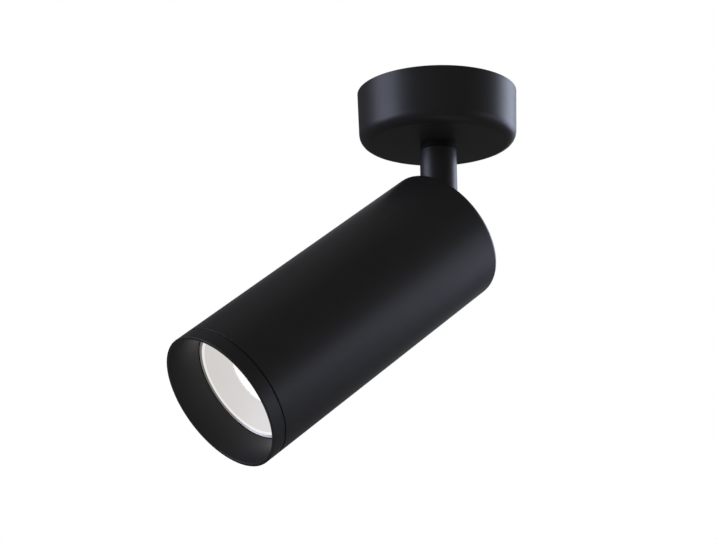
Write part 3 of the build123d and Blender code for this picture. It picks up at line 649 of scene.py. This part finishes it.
@dataclass(frozen=True)
class GlowingCone(Diffuser):
    """Satin cone with painted light: its glow stands in for the lamp's light that it spreads, and
    its rolled lip carries a painted highlight.
    """

    glow_colour: Colour = (0.97, 0.95, 0.93)
    axis_point: Point = (0.0, 0.0, -0.0669)
    tilt_degrees: float = 52.73
    lip_r: float = 0.0231
    lip_blur: float = 0.0001
    # painted highlight: how much brighter the lip's band glows than the rest of the cone
    lip_highlight_gain: float = 1.40

    def extra(self, sheet: NodeSheet, shader: Node) -> None:
        """Adds the painted glow, stronger outside the lip's radius as a painted highlight on the
        lip.

        Args:
            sheet: The material's nodes.
            shader: The Principled node.
        """
        super().extra(sheet, shader)
        tilt = math.radians(self.tilt_degrees)
        axis = (math.sin(tilt), 0.0, math.cos(tilt))
        place = sheet.add("TexCoord").outputs["Object"]
        arm = sheet.vector("SUBTRACT", "Vector", place, self.axis_point)
        across = sheet.vector("CROSS_PRODUCT", "Vector", arm, axis)
        radius = sheet.vector("LENGTH", "Value", across)
        # painted highlight: the band outside the lip's radius glows brighter
        mask = sheet.spread(radius, (self.lip_r - self.lip_blur, self.lip_r + self.lip_blur))
        plain = tuple(c / self.lip_highlight_gain for c in self.glow_colour)
        colour = sheet.blend(mask, (*plain, 1.0), (*self.glow_colour, 1.0))
        shader.inputs["Emission Strength"].default_value = self.glow * self.lip_highlight_gain
        sheet.tree.links.new(colour, shader.inputs["Emission Color"])


class Finishes:
    """Every finish of the part, by the record's slot."""

    def __init__(self, effects: Effects) -> None:
        """Makes every material from the shared groups.

        Args:
            effects: The groups.
        """
        coat: Colour = (0.0130, 0.0130, 0.0136)
        lamp = {"dust": 0.0, "mottle": 0.01}
        kinds: list[Finish] = [
            PowderCoat("black_coat", coat),
            PowderCoat("black_coat_steel", coat),
            PowderCoat("black_screw", (0.012, 0.012, 0.013), roughness=0.38, depth_mm=0.003),
            # black nylon of the bush, darker and less glossy than the coat: partly its own black,
            # partly painted shade under the cup
            Moulded("black_nylon", (0.006, 0.006, 0.007), roughness=0.6, specular=0.15, dust=0.0),
            BareMetal("zinc_steel", (0.55, 0.56, 0.57)),
            BareMetal("spring_steel", (0.30, 0.30, 0.31), roughness=0.28),
            Moulded("fibre_washer", (0.35, 0.12, 0.06), roughness=0.7),
            BareMetal("bare_brass", (0.66, 0.46, 0.18), roughness=0.25),
            BareMetal("tinned_copper", (0.70, 0.70, 0.69), roughness=0.3),
            Moulded("terminal_nylon", (0.72, 0.72, 0.69), roughness=0.45),
            BareMetal("cast_alloy", (0.40, 0.41, 0.42), 0.5, grain_scale=900.0, drawn=False),
            Moulded("steatite", (0.74, 0.71, 0.64), roughness=0.62, mottle=0.06),
            Moulded("black_rubber", (0.012, 0.012, 0.012), roughness=0.72),
            Moulded("lamp_plastic", (0.74, 0.715, 0.66), roughness=0.34, metallic=0.4, dust=0.0),
            # the cone's glow is painted light, standing in for the lamp's light that it reflects,
            # with a painted highlight on its lip
            GlowingCone("satin_reflector", (0.26, 0.25, 0.235), specular=0.25, glow=0.56, **lamp),
            Diffuser("frosted_lens", (0.90, 0.91, 0.90), roughness=0.4, glow=0.57, **lamp),
            Moulded("white_board", (0.75, 0.75, 0.72), roughness=0.4),
            Moulded("led_phosphor", (0.80, 0.62, 0.10), roughness=0.5),
            Moulded("green_board", (0.02, 0.13, 0.05), roughness=0.35, mottle=0.2),
            BareMetal("nickel_pins", (0.66, 0.64, 0.60), roughness=0.22),
            Moulded("brown_silicone", (0.12, 0.05, 0.025), roughness=0.55),
            Moulded("blue_silicone", (0.03, 0.09, 0.30), roughness=0.55),
            StripedSleeve("earth_silicone", (0.10, 0.32, 0.05), roughness=0.55),
        ]
        self.made = {kind.name: kind.material(effects) for kind in kinds}

    def dress(self, piece: Piece, slot: str) -> None:
        """Args:
            piece: The piece.
            slot: The record's slot, which is also the finish's name.
        """
        piece.data.materials.clear()
        piece.data.materials.append(self.made[slot])

    def dress_nodes(self) -> None:
        """Gives every node that came with the frame the finish of its own slot."""
        for part in frame["record"]["subparts"]:
            node = frame["nodes"][part["node"]]
            if not node.material_slots:
                node.data.materials.append(None)
            for socket in node.material_slots:
                socket.link = "OBJECT"
                socket.material = self.made[part["material_slot"]]


def settle(piece: Piece, body: Body, *nodes: str) -> Piece:
    """Puts a finished piece on its body in place of the frame's nodes.

    Args:
        piece: The piece.
        body: Body that it rides on.
        *nodes: Nodes that it stands for.

    Returns:
        The piece.
    """
    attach(piece, body.value)
    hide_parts(*nodes)
    LOG.info("%s: %d faces on %s", piece.name, len(piece.data.polygons), body.value)
    return piece


# ---- sub-assemblies ----
@dataclass(frozen=True)
class ScrewSize:
    """Sizes of a small screw with a six-sided recess, shared by the cup's and the head's."""

    shank_r: float = 1.5
    head_r: float = 2.75
    head_h: float = 1.7
    recess_r: float = 1.33
    recess_floor: float = 0.68  # above the seat of a cap screw
    tip_round: float = 0.3


M3 = ScrewSize()


def cap_screw(name: str, place: Matrix, length: float) -> Piece:
    """Cap screw pointing down from its seat at z = 0.

    Args:
        name: Name of the piece.
        place: Where it goes, in millimetres.
        length: Length under the head.

    Returns:
        The piece.
    """
    screw = lathe(
        name,
        [
            (0, -length, 0),
            (M3.shank_r, -length, M3.tip_round),
            (M3.shank_r, 0, 0),
            (M3.head_r, 0, 0.12),
            (M3.head_r, M3.head_h, 0.35),
            (0, M3.head_h, 0),
        ],
        segments=64,
    )
    recess = polygon(M3.recess_r, 6)
    combine(screw, [bar("recess", recess, M3.recess_floor, M3.head_h + OVERSHOOT)])
    move(screw, place)
    return shade(screw, sharp_degrees=30)


@dataclass
class CeilingCup:
    """Round cup against the ceiling, its side screw, and the collar under it, whose dark finish is
    partly painted shade.
    """

    top_r: float = 35.36
    bottom_r: float = 34.61
    height: float = 24.05
    wall: float = 1.8
    floor: float = 2.5
    edge_r: float = 5.2
    rim_round: float = 0.25
    hole_r: float = 6.82
    hole_round: float = 0.2
    ledge_x: float = -31.3
    ledge_half_w: float = 5.0
    ledge_z: float = -10.45
    ledge_t: float = 2.4
    ledge_in_wall: float = 0.9
    peg_x: float = 12.0
    peg_r: float = 1.2
    peg_h: float = 2.5
    collar_r: float = 7.65
    collar_h: float = 2.8
    bush_bore_r: float = 5.05
    bush_neck_r: float = 6.8
    bush_round: float = 0.15
    side_hole_x: float = 30.0
    side_hole_l: float = 8.0
    side_hole_r: float = 1.8
    screw_z: float = -11.0
    screw_seat: float = 35.15
    screw_l: float = 7.15

    def floor_top(self) -> float:
        """Height of the cup's floor, inside."""
        return -self.height + self.floor

    def build_shell(self) -> Piece:
        """Turned cup with its hook ledge, stop peg and side hole.

        Returns:
            The cup.
        """
        floor, inner_r, half = self.floor_top(), self.bottom_r - self.wall, self.ledge_half_w
        shell = lathe(
            "ceiling_cup",
            [
                (self.top_r, 0, self.rim_round),
                (self.bottom_r, -self.height, self.edge_r),
                (self.hole_r, -self.height, self.hole_round),
                (self.hole_r, floor, self.hole_round),
                (inner_r, floor, self.edge_r - self.wall),
                (self.top_r - self.wall, 0, self.rim_round),
            ],
        )
        ledge = bar(
            "ledge",
            rectangle(-inner_r - self.ledge_in_wall, self.ledge_x, -half, half),
            self.ledge_z,
            self.ledge_z + self.ledge_t,
        )
        peg = lathe(
            "peg",
            [
                (0, floor - OVERSHOOT, 0),
                (self.peg_r, floor - OVERSHOOT, 0),
                (self.peg_r, floor + self.peg_h, 0.3),
                (0, floor + self.peg_h, 0),
            ],
            shift(x=self.peg_x),
            segments=32,
        )
        combine(shell, [ledge, peg], "UNION")
        place = shift(x=self.side_hole_x, z=self.screw_z) @ ALONG_X
        combine(shell, [rod("hole", self.side_hole_r, 0, self.side_hole_l, place, 48)])
        return shade(shell)

    def build_collar(self) -> Piece:
        """Flange and neck of the swivel bush.

        Returns:
            The bush.
        """
        bottom = -self.height - self.collar_h
        collar = lathe(
            "cup_collar",
            [
                (self.bush_bore_r, bottom, self.bush_round),
                (self.collar_r, bottom, 0.25),
                (self.collar_r, -self.height, 0.1),
                (self.bush_neck_r, -self.height, 0),
                (self.bush_neck_r, self.floor_top(), self.bush_round),
                (self.bush_bore_r, self.floor_top(), self.bush_round),
            ],
        )
        return shade(collar)

    def build_screw(self) -> Piece:
        """Side screw, its shank into the bracket's tab."""
        place = shift(x=self.screw_seat, z=self.screw_z) @ ALONG_X
        return cap_screw("cup_side_screw", place, self.screw_l)

    def build(self, finishes: Finishes) -> None:
        """Builds and dresses all three pieces.

        Args:
            finishes: The finishes.
        """
        finishes.dress(settle(self.build_shell(), Body.CANOPY, "canopy_cover"), "black_coat")
        finishes.dress(settle(self.build_collar(), Body.CANOPY, "swivel_bush"), "black_nylon")
        finishes.dress(settle(self.build_screw(), Body.CANOPY, "cup_screw"), "black_screw")


@dataclass
class Stem:
    """Turned post under the cup, with its forked ball end."""

    radius: float = 8.1
    top_z: float = -26.9
    pivot_z: float = -66.9
    chamfer: float = 0.4
    tapped_r: float = 5.02
    tapped_l: float = 8.0
    bore_r: float = 6.2
    bore_stop: float = 8.5
    fork_half: float = 3.05
    tongue_reach: float = 5.3
    screw_bore_r: float = 1.52
    screw_seat: float = 5.6
    head_bore_r: float = 3.05
    nut_corner_r: float = 3.3
    wire_hole_r: float = 1.3
    wire_hole_at: Flat = (3.749, 4.16)
    wire_hole_past: float = 0.2
    ball_steps: int = 28

    def half_section(self) -> list[Corner]:
        """Outline of the post from the ball's tip up, round its top and down to the bore's floor.

        Returns:
            The corners, with the tilt axis at height 0.
        """
        straight = self.top_z - self.pivot_z
        tapped_low = straight - self.tapped_l
        corners: list[Corner] = []
        for i in range(self.ball_steps + 1):
            a = math.radians(90 * i / self.ball_steps)
            corners.append((self.radius * math.sin(a), -self.radius * math.cos(a), 0))
        return corners + [
            (self.radius, straight, self.chamfer),
            (self.tapped_r, straight, 0.15),
            (self.tapped_r, tapped_low, 0),
            (self.bore_r, tapped_low, 0.2),
            (self.bore_r, self.bore_stop, 0.4),
            (0, self.bore_stop, 0),
        ]

    def fork(self) -> Outline:
        """Outline of the fork's slot: open below and behind, round where the tongue swings.

        Returns:
            The outline's points.
        """
        reach, far = self.tongue_reach, 2 * self.radius
        turns = [math.radians(a) for a in range(10, 90, 10)]
        arc = [(reach * math.cos(a), reach * math.sin(a)) for a in turns]
        below = [(-far, -far), (0.0, -far), (reach, -far), (reach, 0.0)]
        return below + arc + [(0.0, reach), (-far, reach)]

    def cutters(self) -> list[Piece]:
        """Fork slot, pivot bores, the nut's pocket and the wire holes.

        Returns:
            The tools, around the tilt axis.
        """
        edge, seat, half = self.radius + OVERSHOOT, self.screw_seat, self.fork_half
        made = [
            bar("fork", self.fork(), -half, half, ALONG_Y),
            bar("pivot", polygon(self.screw_bore_r, 48), -edge, edge, ALONG_Y),
            bar("seat", polygon(self.head_bore_r, 64), seat, edge, ALONG_Y),
            bar("pocket", polygon(self.nut_corner_r, 6), -edge, -seat, ALONG_Y),
        ]
        x, y = self.wire_hole_at
        hole, top = polygon(self.wire_hole_r, 32), self.bore_stop + self.wire_hole_past
        for at in ((x, y), (x, -y), (-x, y)):
            made.append(bar("wire_hole", hole, -edge, top, shift(*at)))
        return made

    def build(self, finishes: Finishes) -> None:
        """Builds and dresses the post.

        Args:
            finishes: The finishes.
        """
        post = lathe("stem_post", self.half_section(), segments=128)
        combine(post, self.cutters())
        move(post, shift(z=self.pivot_z))
        shade(post, sharp_degrees=30)
        finishes.dress(settle(post, Body.STEM, "stem_tube"), "black_coat_steel")


@dataclass
class HeadFrame:
    """Place of the head: drawn straight down from the tilt axis, then turned to its rest angle."""

    pivot_z: float = -66.9
    tilt_degrees: float = 52.73
    back: float = 2.63
    length: float = 138.2

    def place(self) -> Matrix:
        """Matrix from the head's own frame to the part's, in millimetres."""
        return shift(z=self.pivot_z) @ Matrix.Rotation(math.radians(self.tilt_degrees), 4, "Y")

    def seat(self, piece: Piece) -> Piece:
        """Moves a piece drawn in the head's own frame to its place, and shades it."""
        move(piece, self.place())
        return shade(piece, sharp_degrees=32)

    def from_lip(self, depth: float) -> float:
        """Height of a level behind the front lip."""
        return self.back - self.length + depth


@dataclass
class Head:
    """Cylindrical head, its two back screws, and the ring pushed into its mouth."""

    frame: HeadFrame
    radius: float = 30.0
    bore_r: float = 28.2
    back_wall: float = 2.5
    edge_r: float = 1.9
    seam_at: float = 6.25
    seam_w: float = 0.45
    seam_depth: float = 0.4
    seam_bevel: float = 0.45
    lip_r: float = 28.67
    lip_round: float = 0.25
    baffle_r: float = 25.6
    baffle_depth: float = 13.55
    ring_depth: float = 13.75
    spigot_play: float = 0.08
    groove: tuple[float, float, float] = (10.5, 11.9, 26.97)
    slot_r: float = 8.4
    slot_end: float = 25.107
    slot_bevel: float = 0.35
    slot_past: float = 0.05
    screw_y: float = 18.0
    screw_l: float = 9.0
    screw_hole_r: float = 1.55
    countersink_r: float = 2.8
    recess_depth: float = 1.2

    def build_barrel(self) -> Piece:
        """Turned barrel with the stem's slot and two countersunk holes in its back.

        Returns:
            The barrel.
        """
        back, mouth = self.frame.back, self.frame.from_lip(self.seam_at + self.seam_w)
        inner = back - self.back_wall
        barrel = lathe(
            "head_barrel",
            [
                (0, back, 0),
                (self.radius, back, self.edge_r),
                (self.radius, mouth, 0.12),
                (self.bore_r, mouth, 0.15),
                (self.bore_r, inner, 0.95),
                (0, inner, 0),
            ],
        )
        rims = [
            (inner - OVERSHOOT, 0.0),
            (back - self.slot_bevel, 0.0),
            (back + self.slot_past, self.slot_bevel + self.slot_past),
        ]
        length = self.slot_end - self.slot_r
        tools = [prism("slot", [(z, oval(length, self.slot_r, grow)) for z, grow in rims])]
        countersink = [
            (0, inner - OVERSHOOT, 0),
            (self.screw_hole_r, inner - OVERSHOOT, 0),
            (self.screw_hole_r, back - M3.head_h, 0),
            (self.countersink_r, back, 0),
            (self.countersink_r, back + OVERSHOOT, 0),
            (0, back + OVERSHOOT, 0),
        ]
        for y in (-self.screw_y, self.screw_y):
            tools.append(lathe("countersink", countersink, shift(y=y), segments=64))
        combine(barrel, tools)
        return self.frame.seat(barrel)

    def build_ring(self) -> Piece:
        """Front ring: lip, outer band with its seam bevel, spigot with a groove, conical baffle.

        Returns:
            The ring.
        """
        at, seam_end = self.frame.from_lip, self.seam_at + self.seam_w
        seam_r, spigot_r = self.radius - self.seam_depth, self.bore_r - self.spigot_play
        near, far, seat_r = self.groove
        ring = lathe(
            "mouth_ring",
            [
                (self.lip_r, at(0), self.lip_round),
                (self.radius, at(0), self.lip_round),
                (self.radius, at(self.seam_at - self.seam_bevel), 0.1),
                (self.radius - self.seam_bevel, at(self.seam_at), 0.05),
                (seam_r, at(self.seam_at), 0),
                (seam_r, at(seam_end), 0),
                (spigot_r, at(seam_end), 0.05),
                (spigot_r, at(near), 0.1),
                (seat_r, at(near), 0.1),
                (seat_r, at(far), 0.1),
                (spigot_r, at(far), 0.1),
                (spigot_r, at(self.ring_depth), 0.3),
                (self.baffle_r, at(self.ring_depth), 0),
                (self.baffle_r, at(self.baffle_depth), 0.1),
            ],
            segments=FINE_SEGMENTS,
        )
        return self.frame.seat(ring)

    def build_screws(self) -> Piece:
        """Two countersunk screws in the back, each with a six-sided recess.

        Returns:
            Both screws as one piece.
        """
        back, recess = self.frame.back, polygon(M3.recess_r, 6)
        corners = [
            (0, back - self.screw_l, 0),
            (M3.shank_r, back - self.screw_l, M3.tip_round),
            (M3.shank_r, back - M3.head_h, 0),
            (M3.head_r, back, 0.08),
            (0, back, 0),
        ]
        pair = []
        for y in (-self.screw_y, self.screw_y):
            screw = lathe("back_screws", corners, shift(y=y), segments=64)
            tool = bar("recess", recess, back - self.recess_depth, back + OVERSHOOT, shift(y=y))
            pair.append(combine(screw, [tool]))
        return self.frame.seat(combine(pair[0], [pair[1]], "UNION"))

    def build(self, finishes: Finishes) -> None:
        """Builds and dresses the barrel, its screws and the ring.

        Args:
            finishes: The finishes.
        """
        finishes.dress(settle(self.build_barrel(), Body.HEAD, "head_housing"), "black_coat")
        finishes.dress(settle(self.build_screws(), Body.HEAD, "hinge_screws"), "black_screw")
        finishes.dress(settle(self.build_ring(), Body.RING, "front_ring"), "black_coat")


@dataclass
class LampFace:
    """What shows of the lamp: its rim, the satin cone and the bright disc."""

    frame: HeadFrame
    front: float = 13.95
    radius: float = 25.35
    rim_w: float = 2.15
    rim_t: float = 2.0
    crest_in: float = 0.06
    edge_drop: float = 0.06
    rim_drop: float = 0.5
    lip_w: float = 1.2
    lip_at: float = 0.35
    lip_drop: float = 0.15
    lip_play: float = 0.02
    cone_depth: float = 7.4
    cone_t: float = 0.8
    cone_foot: float = 0.85
    disc_r: float = 15.15
    disc_t: float = 1.4
    disc_rise: float = 0.35
    disc_flat: float = 0.6
    disc_play: float = 0.05

    def face(self) -> float:
        """Height of the lamp's face."""
        return self.frame.from_lip(self.front)

    def mouth_r(self) -> float:
        """Radius of the cone's mouth, inside its rolled lip."""
        return self.radius - self.rim_w

    def build_rim(self) -> Piece:
        """Outer rim of the lamp, sloping in from its crest to the cone's rolled lip.

        Returns:
            The rim.
        """
        face, lip_r = self.face(), self.mouth_r() + self.lip_w
        corners = [
            (lip_r, face + self.rim_drop, 0.05),
            (self.radius - self.crest_in, face, 0.02),
            (self.radius, face + self.edge_drop, 0.02),
            (self.radius, face + self.rim_t, 0),
            (lip_r, face + self.rim_t, 0),
        ]
        return self.frame.seat(lathe("lamp_rim", corners, segments=FINE_SEGMENTS))

    def build_cone(self) -> Piece:
        """Satin cone from its rolled lip down to the disc.

        Returns:
            The cone.
        """
        face, inner_r = self.face(), self.mouth_r()
        lip_r = inner_r + self.lip_w - self.lip_play
        lens_z, back = face + self.cone_depth, face + 2 * self.cone_t
        corners = [
            (inner_r, face + self.lip_at + self.lip_drop, 0.1),
            (lip_r, face + self.lip_at, 0.1),
            (lip_r, back, 0),
            (inner_r - self.disc_play, back, 0.1),
            (self.disc_r + self.cone_foot, lens_z + self.cone_t, 0),
            (self.disc_r + self.disc_play, lens_z, 0.1),
        ]
        return self.frame.seat(lathe("lamp_cone", corners, segments=FINE_SEGMENTS))

    def build_disc(self) -> Piece:
        """Frosted disc, flat in its middle and set back at its edge.

        Returns:
            The disc.
        """
        lens_z = self.face() + self.cone_depth
        corners = [
            (0, lens_z, 0),
            (self.disc_r * self.disc_flat, lens_z, 0),
            (self.disc_r, lens_z + self.disc_rise, 0.15),
            (self.disc_r, lens_z + self.disc_t, 0.1),
            (0, lens_z + self.disc_t, 0),
        ]
        return self.frame.seat(lathe("lamp_disc", corners, segments=128))

    def build(self, finishes: Finishes) -> None:
        """Builds and dresses the three pieces.

        Args:
            finishes: The finishes.
        """
        finishes.dress(settle(self.build_rim(), Body.LAMP, "lamp_bezel"), "lamp_plastic")
        finishes.dress(settle(self.build_cone(), Body.LAMP, "lamp_reflector"), "satin_reflector")
        finishes.dress(settle(self.build_disc(), Body.LAMP, "lamp_lens"), "frosted_lens")


# ---- camera, lights and stage ----
@dataclass(frozen=True)
class PhotoCamera:
    """Camera of the photograph, from its fit to the outline: metres, radians and millimetres."""

    distance: float = 0.761494
    height: float = -0.278457
    turn_degrees: float = -34.99
    yaw: float = -0.0472650
    pitch: float = 0.2542297
    roll: float = 0.0119646
    lens: float = 91.03
    sensor: float = 36.0
    clip: Span = (0.01, 20.0)

    def build(self) -> None:
        """Makes the camera and gives it to the scene."""
        right = Vector((math.cos(self.yaw), -math.sin(self.yaw), 0))
        level = math.cos(self.pitch)
        ahead = Vector(
            (math.sin(self.yaw) * level, math.cos(self.yaw) * level, math.sin(self.pitch))
        )
        down = ahead.cross(right)
        right, down = (
            right * math.cos(self.roll) + down * math.sin(self.roll),
            down * math.cos(self.roll) - right * math.sin(self.roll),
        )
        turn = Matrix.Rotation(math.radians(self.turn_degrees), 3, "Z")
        axes = Matrix((turn @ right, turn @ -down, turn @ -ahead)).transposed()
        data = bpy.data.cameras.new("photo_camera")
        data.lens, data.sensor_width, data.sensor_fit = self.lens, self.sensor, "HORIZONTAL"
        data.clip_start, data.clip_end = self.clip
        camera = bpy.data.objects.new("photo_camera", data)
        where = turn @ Vector((0, -self.distance, self.height))
        camera.matrix_world = Matrix.Translation(where) @ axes.to_4x4()
        bpy.context.scene.collection.objects.link(camera)
        bpy.context.scene.camera = camera


def studio_direction(azimuth: float, elevation: float) -> Vector:
    """Unit vector away from the part.

    Args:
        azimuth: Degrees, 0 on the camera's side and growing to the camera's right.
        elevation: Degrees above the horizon.

    Returns:
        The vector.
    """
    turn = math.radians(azimuth - 90 + PhotoCamera.turn_degrees)
    rise = math.radians(elevation)
    level = math.cos(rise)
    return Vector((math.cos(turn) * level, math.sin(turn) * level, math.sin(rise)))


@dataclass(frozen=True)
class Softbox:
    """One soft light, aimed at the head: degrees, metres and watts."""

    name: str
    azimuth: float
    elevation: float
    size: Span
    power: float
    colour: Colour
    distance: float = 1.8
    target: Point = (-0.03, 0.0, -0.08)

    def build(self) -> None:
        """Makes the light."""
        data = bpy.data.lights.new(self.name, "AREA")
        data.shape = "RECTANGLE"
        data.size, data.size_y = self.size
        data.energy, data.color = self.power, self.colour
        light = bpy.data.objects.new(self.name, data)
        way = studio_direction(self.azimuth, self.elevation)
        light.location = Vector(self.target) + way * self.distance
        light.rotation_euler = (-way).to_track_quat("-Z", "Z").to_euler()
        light.visible_camera = False
        bpy.context.scene.collection.objects.link(light)


@dataclass(frozen=True)
class Panel:
    """Round patch of the white backdrop, as gloss mirrors it: degrees."""

    azimuth: float
    elevation: float
    inner: float
    outer: float
    colour: Colour

    def mask(self, sheet: NodeSheet, way: Socket) -> Socket:
        """How far a direction lies inside the patch.

        Args:
            sheet: The world's nodes.
            way: Direction of the ray.

        Returns:
            1 inside the patch, 0 outside.
        """
        aim = tuple(studio_direction(self.azimuth, self.elevation))
        near = sheet.vector("DOT_PRODUCT", "Value", way, aim)
        outer, inner = (math.cos(math.radians(a)) for a in (self.outer, self.inner))
        return sheet.spread(near, (outer, inner))


@dataclass(frozen=True)
class Studio:
    """World, softboxes and floor."""

    ambient: Colour = (0.48, 0.455, 0.44)
    glossy_dark: Colour = (0.072, 0.071, 0.071)
    white: Colour = (1.0, 1.0, 1.0)
    panel: Panel = Panel(156.0, 30.0, 14.0, 40.0, (0.86, 0.89, 0.96))
    floor_z: float = -2.0
    floor_r: float = 0.7
    floor_t: float = 0.002
    floor_colour: Colour = (0.78, 0.78, 0.78)
    floor_fade: Span = (0.35, 0.95)
    boxes: tuple[Softbox, ...] = (
        Softbox("left_box", -75.0, 9.5, (1.40, 1.2), 19.5, (0.70, 0.75, 1.0)),
        Softbox("right_box", 123.0, 12.0, (1.2, 1.1), 18.0, (0.70, 0.77, 1.0)),
        Softbox("low_right", 82.0, -6.0, (0.8, 0.7), 2.0, (0.75, 0.78, 1.0)),
        Softbox("top_back", -150.0, 80.0, (1.4, 1.4), 0.5, (1.0, 1.0, 1.0)),
    )

    def build_world(self) -> None:
        """White backdrop for the camera, dark for gloss but for its one patch, and soft light."""
        world = bpy.data.worlds.new("studio")
        bpy.context.scene.world = world
        world.use_nodes = True
        sheet = NodeSheet(world.node_tree)
        path = sheet.add("LightPath").outputs
        way = sheet.add("TexCoord").outputs["Generated"]
        mirror = sheet.math("MAXIMUM", path["Is Glossy Ray"], path["Is Transmission Ray"])
        patch = self.panel.mask(sheet, way)
        seen = sheet.blend(patch, (*self.glossy_dark, 1.0), (*self.panel.colour, 1.0))
        soft = sheet.blend(mirror, (*self.ambient, 1.0), seen)
        dim = sheet.add("Background", Color=soft, Strength=1.0).outputs[0]
        bright = sheet.add("Background", Color=(*self.white, 1.0), Strength=1.0).outputs[0]
        mix = sheet.add("MixShader", Fac=path["Is Camera Ray"], i1=dim, i2=bright)
        sheet.close("OutputWorld", mix.outputs[0])

    def build_floor(self) -> None:
        """Pale floor far below, which fades into the white backdrop towards its edge."""
        place = shift(z=self.floor_z / MM)
        floor = rod("floor", self.floor_r / MM, 0, -self.floor_t / MM, place, 96)
        pale = bpy.data.materials.new("pale_floor")
        pale.use_nodes = True
        sheet = NodeSheet(pale.node_tree)
        where = sheet.add("NewGeometry").outputs["Position"]
        flat = sheet.vector("MULTIPLY", "Vector", where, (1.0, 1.0, 0.0))
        away = sheet.vector("LENGTH", "Value", flat)
        start, end = self.floor_fade
        fade = sheet.spread(away, (self.floor_r * start, self.floor_r * end))
        seen = sheet.math("MULTIPLY", sheet.add("LightPath").outputs["Is Camera Ray"], fade)
        matt = sheet.add("BsdfDiffuse", Color=(*self.floor_colour, 1.0)).outputs[0]
        white = sheet.add("Emission", Color=(*self.white, 1.0), Strength=1.0).outputs[0]
        mix = sheet.add("MixShader", Fac=seen, i1=matt, i2=white)
        sheet.close("OutputMaterial", mix.outputs[0])
        floor.data.materials.append(pale)

    def build(self) -> None:
        """Builds the world, the floor and the lights, and sets the view transform."""
        self.build_world()
        self.build_floor()
        for box in self.boxes:
            box.build()
        bpy.context.scene.view_settings.view_transform = "Standard"


def main() -> None:
    """Builds every piece, the studio and the camera."""
    logging.basicConfig(level=logging.INFO, format="%(name)s: %(message)s")
    finishes = Finishes(Effects())
    finishes.dress_nodes()
    CeilingCup().build(finishes)
    Stem().build(finishes)
    head_frame = HeadFrame()
    Head(head_frame).build(finishes)
    LampFace(head_frame).build(finishes)
    Studio().build()
    PhotoCamera().build()


if __name__ == "__main__":
    main()
